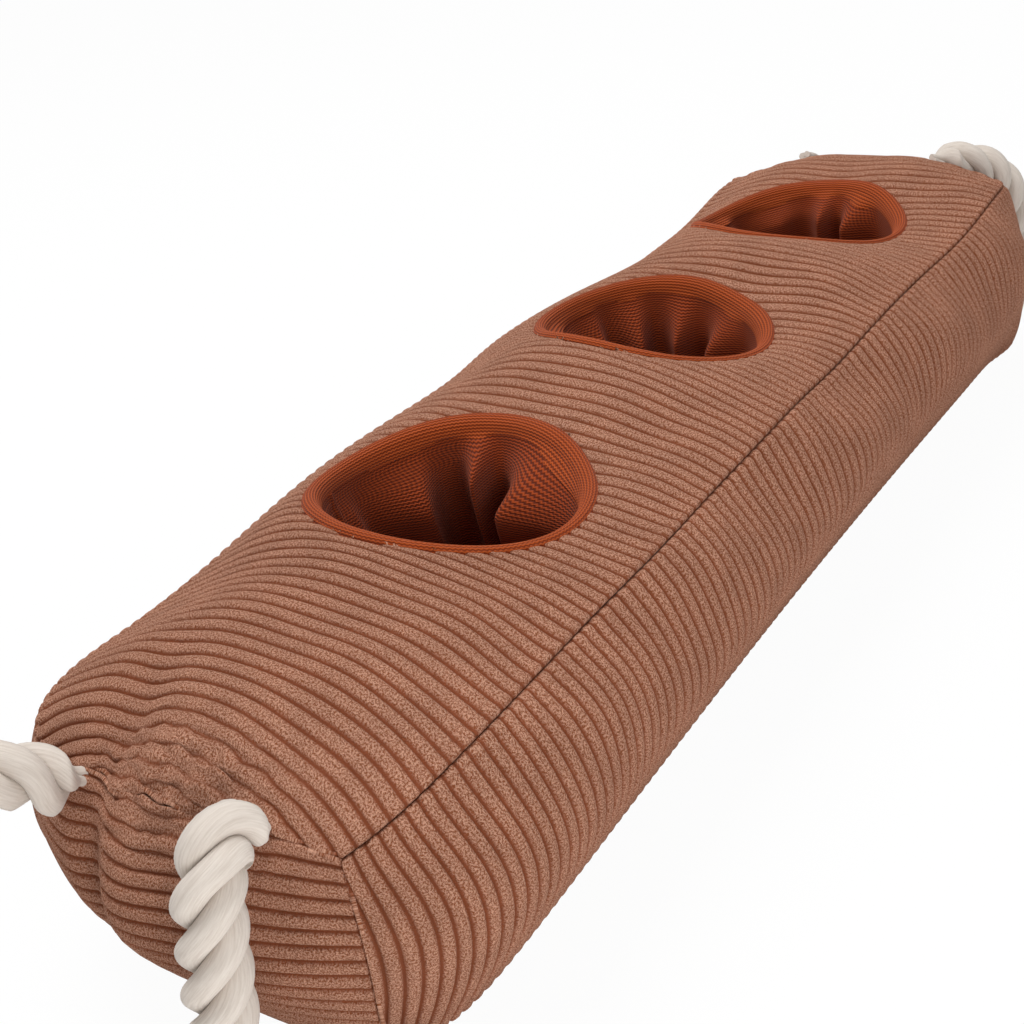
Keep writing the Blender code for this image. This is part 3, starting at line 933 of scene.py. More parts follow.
@dataclass
class CoverPanel:
    """One corduroy panel of the cover, with every wale modelled.

    Its rows and columns follow the wales, and at each seam a few more turn in under the edge.
    """

    facing: Facing
    form: CoverForm
    wales: Wales
    steps_per_wale: int
    rib_steps: int
    phase: float = 0.0
    openings: tuple[Opening, ...] = ()
    seam_dip: float = 0.0003
    seam_reach: float = 0.0035
    seam_fill_share: float = 0.85
    allowances: tuple[float, ...] = (0.0032, 0.0056)
    seam_trim: float = 0.0001
    even_share: float = 0.35
    measuring_steps: int = 1600

    @property
    def name(self) -> str:
        """Name of the panel's CAD node."""
        ends = {Facing.LEFT: "left_end", Facing.RIGHT: "right_end"}
        return ends.get(self.facing, self.facing.name.lower()) + "_panel"

    def _halves(self) -> tuple[float, float, float]:
        """Half the form's length, width and height."""
        return self.form.length / 2, self.form.width / 2, self.form.height / 2

    def _straightness(self) -> float:
        """Tell how far the wales keep straight in the cloth instead of following the seams.

        Returns:
            A share from 0, along the seams, to 1, quite straight.
        """
        if self.facing.axis == 2:
            return 1.0
        return self.wales.end_straightness if self.facing.axis == 0 else self.wales.side_straightness

    def _on_face(self, wale: np.ndarray, rib: np.ndarray) -> list[np.ndarray]:
        """Turn shares of the panel into places on its face of the unit cube.

        Args:
            wale: Shares along the order of the wales, from -1 to 1.
            rib: Shares along the wales, from -1 to 1.

        Returns:
            The places along, across and up.
        """
        place = [np.full_like(wale, float(self.facing.sign))] * 3
        place[self.facing.wale_axis] = wale
        place[self.facing.rib_axis] = rib
        return place

    def _wale_grid(self, ribs: np.ndarray) -> tuple[np.ndarray, np.ndarray, np.ndarray]:
        """Spread columns that run along the wales, held back where a seam cuts them off.

        Args:
            ribs: The rows' shares along the wales.

        Returns:
            The grid's shares along the wales' order, the distance along the cloth that counts
            the wales, and the distance to the nearer seam that ends the count.
        """
        shares = np.linspace(-1, 1, self.measuring_steps + 1)
        share_grid, rib_grid = np.meshgrid(shares, ribs)
        points = self.form.plain_point(*self._on_face(share_grid, rib_grid))
        gaps = np.linalg.norm(np.diff(points, axis=1), axis=2)
        run = np.concatenate([np.zeros((len(points), 1)), np.cumsum(gaps, axis=1)], axis=1)
        run -= run[:, len(shares) // 2][:, None]
        longest = np.abs(run).max(axis=0)
        spread = np.divide(longest[None, :], np.abs(run), where=np.abs(run) > SMALLEST_LENGTH,
                           out=np.ones_like(run))
        straight = self._straightness()
        counted = run * (straight + (1 - straight) * spread)
        if self.facing.axis == 2:
            zone = 1 - (np.abs(run[:, -1:]) - np.abs(run)) / self.wales.bow_zone
            counted = counted - np.sign(run) * self.wales.bow * rib_grid ** 2 * smooth_step(zone)
        count = 2 * math.ceil(np.abs(counted[:, [0, -1]]).max() / self.wales.pitch)
        wanted = np.linspace(-count / 2, count / 2, count * self.steps_per_wale + 1)
        wanted = wanted * self.wales.pitch
        low, high = counted[:, 0], counted[:, -1]
        held = np.clip(wanted[None, :], low[:, None], high[:, None])
        found = np.stack([np.interp(row, line, shares) for row, line in zip(held, counted)])
        room = np.minimum(held - low[:, None], high[:, None] - held)
        return found, held, room

    def _with_allowance(self, values: np.ndarray) -> np.ndarray:
        """Repeat the outermost rows and columns once for each that turns in at a seam."""
        return np.pad(values, len(self.allowances), mode="edge")

    def _turned_in(self, count: int) -> np.ndarray:
        """How far each of a number of rows is turned in beyond the seam, 0 on the panel."""
        depths = np.array(self.allowances)
        return np.concatenate([depths[::-1], np.zeros(count), depths])

    def _spread(self) -> ClothGrid:
        """Spread the panel's grid over its face, with the rows that turn in at the seams.

        Returns:
            The grid, with the pocket openings cut out.
        """
        halves = self._halves()
        even = np.linspace(-1, 1, self.rib_steps + 1)
        bunched = np.sin(even * math.pi / 2)
        rib_shares = self.even_share * even + (1 - self.even_share) * bunched
        found, held, end_room = self._wale_grid(rib_shares)
        turned = np.maximum(self._turned_in(found.shape[0])[:, None],
                            self._turned_in(found.shape[1])[None, :])
        wale, run, wale_room = (self._with_allowance(grid) for grid in (found, held, end_room))
        rib = self._with_allowance(np.broadcast_to(rib_shares[:, None], found.shape))
        still = np.diff(wale, axis=1) == 0
        keep = ~(still[:-1] & still[1:]) | (turned[:-1, :-1] != turned[1:, 1:])
        if self.openings:
            wale, rib, outside = self._open_pockets(wale, rib, halves)
            keep = keep & outside
        rib_room = (1 - np.abs(rib)) * halves[self.facing.rib_axis]
        return ClothGrid(wale, rib, run, wale_room, rib_room, end_room, turned, keep)

    def _ground(self, grid: ClothGrid) -> np.ndarray:
        """Place the cloth on the settled form, drawn in a little along the seams.

        Args:
            grid: The panel's grid.

        Returns:
            The places, with a last axis of three.
        """
        halves = self._halves()
        inset = self.seam_dip * np.maximum(0, 1 - grid.room / self.seam_reach) ** 2
        inset = np.where(grid.turned > 0, grid.turned, inset)
        wale = grid.wale * (1 - self.seam_trim / halves[self.facing.wale_axis])
        rib = grid.rib * (1 - self.seam_trim / halves[self.facing.rib_axis])
        return self.form.point(*self._on_face(wale, rib), inset)

    def _crown(self, grid: ClothGrid) -> np.ndarray:
        """Tell where each point is on its wale, from 0 in a groove to 1 on the crown.

        Args:
            grid: The panel's grid.

        Returns:
            Shares from 0 to 1.
        """
        halves = self._halves()
        wander = self.wales.wander * drift(grid.wale * halves[self.facing.wale_axis],
                                           grid.rib * halves[self.facing.rib_axis],
                                           self.wales.wander_size,
                                           self.wales.wander_seed + self.facing.axis)
        free_room = self.wales.wander_start_wales * self.wales.pitch
        turn = grid.run / self.wales.pitch + self.phase
        turn = turn + wander / self.wales.pitch * smooth_step(grid.wale_room / free_room)
        across_wale = np.abs(2 * (turn - np.floor(turn)) - 1)
        return 1 - across_wale ** self.wales.roundness

    def _lift(self, grid: ClothGrid, crown: np.ndarray, standing: np.ndarray) -> np.ndarray:
        """Tell how far the pile stands over the form, and sinks at seams and openings.

        Args:
            grid: The panel's grid.
            crown: Where each point is on its wale, from 0 to 1.
            standing: How upright the pile is, from 0 to 1.

        Returns:
            Distances in metres.
        """
        halves = self._halves()
        rounding = 1 - np.clip(grid.rib_room / self.wales.end_reach, 0, 1)
        height = np.where(grid.turned > 0, 0.0, crown * np.sqrt(1 - rounding ** 2))
        filled = self.seam_fill_share * np.maximum(0, 1 - grid.room / self.seam_reach)
        ground = np.where(grid.turned > 0, 0.0, self.wales.ground_share * (1 - filled))
        lift = self.wales.depth * standing * (height - ground)
        for opening in self.openings:
            away = np.hypot(grid.wale * halves[0] - opening.x, grid.rib * halves[1]) - opening.radius
            near = np.exp(-np.maximum(away, 0) / opening.lip_reach)
            lift = lift - near * opening.lip_drop
        return lift

    def build(self) -> bpy.types.Object:
        """Build the panel's mesh.

        Returns:
            The panel's object.
        """
        grid = self._spread()
        base = self._ground(grid)
        crown = self._crown(grid)
        standing = 1 - self.wales.matted_share * self.form.matted(base)
        lift = self._lift(grid, crown, standing)
        points = base + self._outward_normals(base, grid.end_room) * lift[..., None]
        points[..., 2] = np.maximum(points[..., 2], 0.0)
        uv = np.stack([grid.run, grid.rib * self._halves()[self.facing.rib_axis]], -1)
        outwards = [0.0, 0.0, 0.0]
        outwards[self.facing.axis] = float(self.facing.sign)
        made = grid_object(self.name + "_cloth", points, uv, outwards, grid.keep, False,
                           {"wale": 1 - standing * (1 - crown)})
        thicken(made, "cloth", self.wales.cloth)
        return made

    def _outward_normals(self, base: np.ndarray, end_room: np.ndarray) -> np.ndarray:
        """Work out the cloth's normals, without the rows that turn in at the seams.

        Args:
            base: The grid's places, with the turned-in rows.
            end_room: Distances to the seam that ends a wale's count, without those rows.

        Returns:
            Unit normals that point out of the cover, shaped like the places.
        """
        turns = len(self.allowances)
        normal = grid_normals(base[turns:-turns, turns:-turns])
        free = end_room > 0
        columns = free.shape[1]
        first = free.argmax(axis=1)[:, None]
        last = columns - 1 - free[:, ::-1].argmax(axis=1)[:, None]
        picked = np.clip(np.arange(columns), first, last)
        normal = np.take_along_axis(normal, picked[..., None], axis=1)
        middle = normal[normal.shape[0] // 2, normal.shape[1] // 2]
        if middle[self.facing.axis] * self.facing.sign < 0:
            normal = -normal
        return np.pad(normal, ((turns, turns), (turns, turns), (0, 0)), mode="edge")

    def _open_pockets(self, wale: np.ndarray, rib: np.ndarray,
                      halves: tuple[float, float, float]) -> tuple[np.ndarray, np.ndarray, np.ndarray]:
        """Cut the pocket openings out of the grid and round their edges.

        Args:
            wale: The grid's shares along the cover.
            rib: The grid's shares across the cover.
            halves: Half the form's length, width and height.

        Returns:
            The moved shares, and which faces are kept.
        """
        inside = np.zeros(wale.shape, bool)
        x, y = wale * halves[0], rib * halves[1]
        for opening in self.openings:
            away = np.hypot(x - opening.x, y)
            within = away < opening.radius
            stretch = opening.radius / np.maximum(away, SMALLEST_LENGTH)
            x = np.where(within, opening.x + (x - opening.x) * stretch, x)
            y = np.where(within, y * stretch, y)
            inside |= within
        keep = ~(inside[:-1, :-1] & inside[1:, :-1] & inside[:-1, 1:] & inside[1:, 1:])
        return x / halves[0], y / halves[1], keep


@dataclass
class Cover:
    """The sewn corduroy cover and the stuffing that fills it."""

    form: CoverForm
    openings: tuple[Opening, ...]
    wales: Wales = field(default_factory=Wales)
    fill: float = 0.9
    stuffing_gap: float = 0.0050
    side_phase: float = 0.5

    def build(self, corduroy: bpy.types.Material, fibre: bpy.types.Material) -> None:
        """Build the six panels and the stuffing.

        Args:
            corduroy: Material of the panels.
            fibre: Material of the stuffing.
        """
        panels = [
            CoverPanel(Facing.TOP, self.form, self.wales, steps_per_wale=10, rib_steps=72,
                       openings=self.openings),
            CoverPanel(Facing.FRONT, self.form, self.wales, steps_per_wale=10, rib_steps=36,
                       phase=self.side_phase),
            CoverPanel(Facing.BACK, self.form, self.wales, steps_per_wale=8, rib_steps=32,
                       phase=self.side_phase),
            CoverPanel(Facing.BOTTOM, self.form, self.wales, steps_per_wale=8, rib_steps=40),
            CoverPanel(Facing.LEFT, self.form, self.wales, steps_per_wale=10, rib_steps=60),
            CoverPanel(Facing.RIGHT, self.form, self.wales, steps_per_wale=10, rib_steps=60),
        ]
        for panel in panels:
            made = panel.build()
            settle_piece(made, corduroy, Body.COVER, [panel.name])
        self._stuff(fibre)

    def _stuff(self, fibre: bpy.types.Material) -> None:
        """Build the stuffing from the CAD solid, settled and a little smaller.

        Args:
            fibre: Material of the stuffing.
        """
        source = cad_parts["stuffing_core"]
        shape = bmesh.new()
        shape.from_mesh(source.data)
        bmesh.ops.remove_doubles(shape, verts=shape.verts, dist=WELD_DISTANCE)
        shape.normal_update()
        for vertex in shape.verts:
            vertex.co -= vertex.normal * self.stuffing_gap
        places = np.array([vertex.co for vertex in shape.verts])
        for vertex, moved in zip(shape.verts, self.form.settled(places)):
            vertex.co = moved
        mesh = bpy.data.meshes.new("fibre_stuffing")
        shape.to_mesh(mesh)
        shape.free()
        made = scene_object("fibre_stuffing", mesh)
        settle_piece(made, fibre, Body.COVER, ["stuffing_core"])


# Knitted pockets


@dataclass(frozen=True)
class Fold:
    """A fold of a pocket's wall that stands in towards the middle.

    Its place and its widths before and after that are in degrees, and the rest in metres.
    """

    degrees: float
    before: float
    after: float
    depth: float
    start: float = 0.003
    reach: float = 0.030

    def at(self, degrees: np.ndarray, drop: np.ndarray) -> np.ndarray:
        """Tell how far the fold stands in.

        Args:
            degrees: Places round the pocket, from +X towards +Y.
            drop: Distances under the top panel, in metres.

        Returns:
            Distances in metres.
        """
        away = (degrees - self.degrees + 180) % 360 - 180
        width = np.where(away < 0, self.before, self.after)
        grown = smooth_step((drop - self.start) / self.reach)
        return self.depth * np.exp(-(away / width) ** 2) * grown


@dataclass
class Pocket:
    """A knitted pocket: the band round its rim, its folded wall and its base.

    The band's section is a row of places, each a radius and a drop under the top panel.
    Lengths are in metres, and places and widths round the wall are in degrees.
    """

    number: int
    x: float
    form: CoverForm
    folds: tuple[Fold, ...]
    outer_radius: float = 0.0478
    lip_radius: float = 0.0410
    wall_radius: float = 0.0415
    lip_drop: float = 0.0068
    lip_tuck: float = 0.0006
    near_slope: float = 0.0022
    band_foot: float = 0.0026
    band_section: tuple[tuple[float, float], ...] = (
        (0.0473, 0.0009), (0.0465, -0.0003), (0.0452, -0.0008), (0.0436, -0.0005),
        (0.0422, 0.0006), (0.0414, 0.0024),
    )
    band_turn: float = 0.0046
    wall_start: float = 0.0040
    wall_depth: float = 0.0700
    floor_z: float = 0.0352
    course: float = 0.0011
    course_height: float = 0.00006
    seam_degrees: float = 118.0
    seam_ridge: float = 0.0008
    ridge_degrees: float = 9.0
    ridge_width: float = 1.6
    ladder: float = 0.0005
    ladder_pitch: float = 0.0034
    ladder_width: float = 7.0
    ladder_start: float = 0.012
    least_radius: float = 0.006
    base_lap: float = 0.0008
    base_crown: float = 0.0015
    base_hole_share: float = 0.1
    knit: float = 0.0010
    round_steps: int = 360
    wall_rows: int = 56
    band_rows: int = 52
    section_steps: int = 12
    base_rings: int = 13

    def _angles(self) -> np.ndarray:
        """Places round the pocket, in radians."""
        return np.arange(self.round_steps) * FULL_TURN / self.round_steps

    def _placed(self, radius: np.ndarray, angle: np.ndarray, drop: np.ndarray) -> np.ndarray:
        """Place points on the even form by radius, angle and drop under the top panel.

        Args:
            radius: Distances from the pocket's middle line, in metres.
            angle: Places round the pocket, in radians.
            drop: Distances under the top panel, in metres.

        Returns:
            The places, with a last axis of three.
        """
        x = self.x + radius * np.cos(angle)
        y = radius * np.sin(angle)
        edge_x = self.x + self.outer_radius * np.cos(angle)
        edge_y = self.outer_radius * np.sin(angle)
        share = np.clip(radius / self.outer_radius, 0, 1)
        high = share * self.form.top_height(x, y) + (1 - share) * self.form.top_height(edge_x, edge_y)
        return np.stack([x, y, high - drop], -1)

    def rim(self) -> bpy.types.Object:
        """Build the band, which rolls over from under the corduroy down to the wall.

        Returns:
            The band's object.
        """
        places = [(self.outer_radius, self.band_foot), *self.band_section,
                  (self.lip_radius, self.band_turn),
                  (self.lip_radius + self.lip_tuck, self.lip_drop)]
        outline = [(out, 0.0, down) for out, down in places]
        section = at_even_steps(catmull_rom(outline, self.section_steps), self.band_rows)
        run = np.concatenate([[0], np.cumsum(np.linalg.norm(np.diff(section, axis=0), axis=1))])
        angle, radius = np.meshgrid(self._angles(), section[:, 0])
        drop = np.meshgrid(self._angles(), section[:, 2])[1]
        sloping = smooth_step((self.outer_radius - radius) / (self.outer_radius - self.lip_radius))
        drop = drop + self.near_slope * sloping * np.maximum(0, -np.sin(angle))
        radius = radius - self._folded_in(np.degrees(angle), drop)
        course = np.sin(FULL_TURN * run / self.course)[:, None]
        points = self.form.settled(self._placed(radius, angle, drop))
        normal = grid_normals(points, True)
        if normal[len(section) // 2, 0, 2] < 0:
            normal = -normal
        points = points + normal * (course * self.course_height)[..., None]
        around = np.linspace(0, FULL_TURN * self.outer_radius, self.round_steps + 1)
        uv = np.stack(np.meshgrid(around, run), -1)
        made = grid_object(f"pocket_{self.number}_rim_band", points, uv, (0, 0, 1), None, True)
        thicken(made, "knit", self.knit)
        return made

    def _folded_in(self, degrees: np.ndarray, drop: np.ndarray) -> np.ndarray:
        """Tell how far the folds stand in at places of the band or wall."""
        return sum(fold.at(degrees, drop) for fold in self.folds)

    def _wall_radius(self, degrees: np.ndarray, drop: np.ndarray) -> np.ndarray:
        """Tell the wall's distance from the pocket's middle line.

        Args:
            degrees: Places round the pocket, from +X towards +Y.
            drop: Distances under the top panel, in metres.

        Returns:
            Distances in metres.
        """
        past_seam = degrees - self.seam_degrees
        ladder = (self.ladder * np.exp(-(past_seam / self.ladder_width) ** 2)
                  * np.sin(FULL_TURN * drop / self.ladder_pitch)
                  * smooth_step(drop / self.ladder_start))
        seam = self.seam_ridge * np.exp(-((past_seam + self.ridge_degrees) / self.ridge_width) ** 2)
        flush = (self.wall_radius - self.lip_radius) * smooth_step(drop / self.lip_drop)
        radius = self.wall_radius - flush - self._folded_in(degrees, drop) - ladder - seam
        return np.maximum(radius, self.least_radius)

    def wall(self) -> bpy.types.Object:
        """Build the wall, a sleeve whose folds deepen towards the base.

        Returns:
            The wall's object.
        """
        down_shares = np.linspace(0, 1, self.wall_rows)
        angle, down = np.meshgrid(self._angles(), down_shares)
        edge = self._placed(np.full_like(angle, self.outer_radius), angle,
                            np.zeros_like(angle))[..., 2]
        high = edge - self.wall_start
        height = high + (self.floor_z - high) * down
        radius = self._wall_radius(np.degrees(angle), edge - height)
        points = np.stack([self.x + radius * np.cos(angle), radius * np.sin(angle), height], -1)
        points = self.form.settled(points)
        run = np.concatenate([np.zeros((1, self.round_steps)),
                              np.cumsum(np.linalg.norm(np.diff(points, axis=0), axis=2), axis=0)])
        around = np.concatenate([np.zeros((self.wall_rows, 1)), np.cumsum(np.linalg.norm(
            np.roll(points, -1, axis=1) - points, axis=2), axis=1)], axis=1)
        around = around / around[:, -1:] * FULL_TURN * self.wall_radius
        run = np.concatenate([run, run[:, :1]], axis=1)
        uv = np.stack([around, np.broadcast_to(run.mean(axis=1, keepdims=True), run.shape)], -1)
        inwards = (self.x - points[self.wall_rows // 2, self.round_steps // 2, 0], 0, 0)
        made = grid_object(f"pocket_{self.number}_wall_sleeve", points, uv, inwards, None, True)
        thicken(made, "knit", self.knit)
        return made

    def base(self) -> bpy.types.Object:
        """Build the base, a knitted round that the wall is sewn to.

        Returns:
            The base's object.
        """
        shares = np.linspace(0, 1, self.base_rings + 1)[1:]
        angle, share = np.meshgrid(self._angles(), shares)
        wall = self._wall_radius(np.degrees(angle), np.full_like(angle, self.wall_depth))
        radius = (wall + self.base_lap) * share
        points = np.stack([self.x + radius * np.cos(angle), radius * np.sin(angle),
                           self.floor_z + self.base_crown * (1 - share ** 2)], -1)
        angles = np.linspace(0, FULL_TURN, self.round_steps + 1)
        turn, part = np.meshgrid(angles, shares)
        uv = np.stack([turn * self.wall_radius, part * self.wall_radius], -1)
        made = grid_object(f"pocket_{self.number}_base_round", points, uv, (0, 0, 1), None, True)
        shape = bmesh.new()
        shape.from_mesh(made.data)
        reach = self.base_hole_share * self.wall_radius
        hole = [edge for edge in shape.edges if edge.is_boundary and all(
            math.hypot(end.co.x - self.x, end.co.y) < reach for end in edge.verts)]
        bmesh.ops.holes_fill(shape, edges=hole, sides=0)
        shape.to_mesh(made.data)
        shape.free()
        thicken(made, "knit", self.knit)
        return made

    def build(self, band: bpy.types.Material, sleeve: bpy.types.Material) -> None:
        """Build the pocket's three knitted pieces.

        Args:
            band: Material of the band round the rim.
            sleeve: Material of the wall and the base, a darker copy of the band's knit that paints in the
                shade inside the pocket.
        """
        pieces = ((self.rim(), "rim", band), (self.wall(), "wall", sleeve),
                  (self.base(), "base", sleeve))
        for made, part, knit in pieces:
            settle_piece(made, knit, Body.COVER, [f"pocket_{part}_{self.number}"])


# Cotton rope loops


@dataclass(frozen=True)
class RopeLay:
    """How the strands are laid into the rope, with lengths in metres."""

    diameter: float = 0.019
    lay: float = 0.0380
    strands: int = 3
    strand_radius: float = 0.0045
    strand_spread: float = 0.0051
    strand_flatness: float = 1.12
    ring_steps: int = 26
    step: float = 0.0011
    tip_radius: float = 0.0030

    def tree(self) -> bpy.types.NodeTree:
        """Build the node tree that lays three strands along a line of points.

        Returns:
            The tree, whose inputs are the sizes and the material.
        """
        tree = bpy.data.node_groups.new("three_strand_rope", "GeometryNodeTree")
        sockets = tree.interface
        sockets.new_socket(name="Route", in_out="INPUT", socket_type="NodeSocketGeometry")
        for title in ("Lay", "Strand Radius", "Strand Spread", "Strand Flatness"):
            sockets.new_socket(name=title, in_out="INPUT", socket_type="NodeSocketFloat")
        sockets.new_socket(name="Ring Steps", in_out="INPUT", socket_type="NodeSocketInt")
        sockets.new_socket(name="Material", in_out="INPUT", socket_type="NodeSocketMaterial")
        sockets.new_socket(name="Rope", in_out="OUTPUT", socket_type="NodeSocketGeometry")
        given = add_node(tree, "NodeGroupInput").outputs
        line = add_node(tree, "GeometryNodeMeshToCurve", None, {"Mesh": given["Route"]})
        spline = add_node(tree, "GeometryNodeSplineParameter")
        named = add_node(tree, "GeometryNodeStoreNamedAttribute", {"data_type": "FLOAT"},
                         {"Geometry": line.outputs[0], "Name": "run",
                          "Value": spline.outputs["Length"]})
        turns = add_node(tree, "ShaderNodeMath", {"operation": "DIVIDE"},
                         {0: spline.outputs["Length"], 1: given["Lay"]})
        tilt = add_node(tree, "ShaderNodeMath", {"operation": "MULTIPLY"},
                        {0: turns.outputs[0], 1: FULL_TURN})
        twisted = add_node(tree, "GeometryNodeSetCurveTilt", None,
                           {"Curve": named.outputs[0], "Tilt": tilt.outputs[0]})
        circle = add_node(tree, "GeometryNodeCurvePrimitiveCircle", None,
                          {"Resolution": given["Ring Steps"], "Radius": 1.0})
        place = add_node(tree, "GeometryNodeInputPosition")
        ringed = add_node(tree, "GeometryNodeStoreNamedAttribute", {"data_type": "FLOAT_VECTOR"},
                          {"Geometry": circle.outputs["Curve"], "Name": "ring"})
        scaled = add_node(tree, "ShaderNodeVectorMath", {"operation": "SCALE"},
                          {0: place.outputs[0], "Scale": given["Strand Radius"]})
        tree.links.new(scaled.outputs[0], ringed.inputs["Value"])
        tall = add_node(tree, "ShaderNodeMath", {"operation": "MULTIPLY"},
                        {0: given["Strand Radius"], 1: given["Strand Flatness"]})
        sizes = add_node(tree, "ShaderNodeCombineXYZ", None,
                         {"X": given["Strand Radius"], "Y": tall.outputs[0], "Z": 1.0})
        strand = add_node(tree, "GeometryNodeTransform", None,
                          {"Geometry": ringed.outputs[0], "Scale": sizes.outputs[0]})
        three = add_node(tree, "GeometryNodeMeshCircle", None,
                         {"Vertices": self.strands, "Radius": given["Strand Spread"]})
        index = add_node(tree, "GeometryNodeInputIndex")
        share = add_node(tree, "ShaderNodeMath", {"operation": "MULTIPLY"},
                         {0: index.outputs[0], 1: FULL_TURN / self.strands})
        euler = add_node(tree, "ShaderNodeCombineXYZ", None, {"Z": share.outputs[0]})
        spin = add_node(tree, "FunctionNodeEulerToRotation", None, {0: euler.outputs[0]})
        laid = add_node(tree, "GeometryNodeInstanceOnPoints", None,
                        {"Points": three.outputs[0], "Instance": strand.outputs[0],
                         "Rotation": spin.outputs[0]})
        profile = add_node(tree, "GeometryNodeRealizeInstances", None, {0: laid.outputs[0]})
        girth = add_node(tree, "GeometryNodeInputNamedAttribute", {"data_type": "FLOAT"},
                         {"Name": "girth"})
        swept = add_node(tree, "GeometryNodeCurveToMesh", None,
                         {"Curve": twisted.outputs[0], "Profile Curve": profile.outputs[0],
                          "Scale": girth.outputs[0], "Fill Caps": True})
        whole = add_node(tree, "GeometryNodeRealizeInstances", None, {0: swept.outputs[0]})
        dressed = add_node(tree, "GeometryNodeSetMaterial", None,
                           {"Geometry": whole.outputs[0], "Material": given["Material"]})
        add_node(tree, "NodeGroupOutput", None, {0: dressed.outputs[0]})
        return tree


@dataclass
class RopeLoop:
    """A loop of three-strand rope whose two ends are sewn into the top seam of an end."""

    name: str
    node: str
    body: Body
    front_exit: Point
    back_exit: Point
    route: tuple[Point, ...]
    neck_slopes: tuple[float, float] = (1.0, 1.0)
    curve_steps: int = 24
    rope: RopeLay = field(default_factory=RopeLay)

    def build(self, tree: bpy.types.NodeTree, cotton: bpy.types.Material) -> bpy.types.Object:
        """Args:
            tree: The node tree that lays the strands.
            cotton: The rope's material.

        Returns:
            The loop's object.
        """
        curve = catmull_rom([self.front_exit, *self.route, self.back_exit], self.curve_steps)
        length = float(np.linalg.norm(np.diff(curve, axis=0), axis=1).sum())
        count = round(length / self.rope.step)
        path = at_even_steps(curve, count)
        run = np.linspace(0, length, count)
        neck = np.minimum(self.neck_slopes[0] * run, self.neck_slopes[1] * (length - run))
        full_radius = self.rope.diameter / 2
        radius = np.clip(neck, self.rope.tip_radius, full_radius)
        made = lined_object(self.name, path, {"girth": radius / full_radius})
        bake_nodes(made, tree, {"Lay": self.rope.lay, "Strand Radius": self.rope.strand_radius,
                                "Strand Spread": self.rope.strand_spread,
                                "Strand Flatness": self.rope.strand_flatness,
                                "Ring Steps": self.rope.ring_steps, "Material": cotton})
        settle_piece(made, cotton, self.body, [self.node])
        log.info("%s is %.4f m long", self.name, length)
        return made


def lined_object(name: str, path: np.ndarray, layers: dict[str, np.ndarray]) -> bpy.types.Object:
    """Make an object that is a line of points, for a node tree to work along.

    Args:
        name: Name of the object.
        path: The line's points.
        layers: Number attributes by name, one value a point.

    Returns:
        The object, in the scene.
    """
    mesh = bpy.data.meshes.new(name)
    mesh.from_pydata(path.tolist(), [(step, step + 1) for step in range(len(path) - 1)], [])
    for title, values in layers.items():
        attribute = mesh.attributes.new(title, "FLOAT", "POINT")
        attribute.data.foreach_set("value", np.asarray(values, np.float32))
    return scene_object(name, mesh)


def bake_nodes(made: bpy.types.Object, tree: bpy.types.NodeTree, values: dict[str, Any]) -> None:
    """Run a node tree on an object once and keep the plain mesh that it makes.

    Args:
        made: The object.
        tree: The node tree.
        values: The tree's inputs by name.
    """
    nodes = made.modifiers.new(tree.name, "NODES")
    nodes.node_group = tree
    for item in tree.interface.items_tree:
        if item.in_out == "INPUT" and item.name in values:
            nodes[item.identifier] = values[item.name]
    graph = bpy.context.evaluated_depsgraph_get()
    mesh = bpy.data.meshes.new_from_object(made.evaluated_get(graph), depsgraph=graph)
    made.modifiers.remove(nodes)
    made.data = mesh
    mesh.shade_smooth()


# Sewing thread


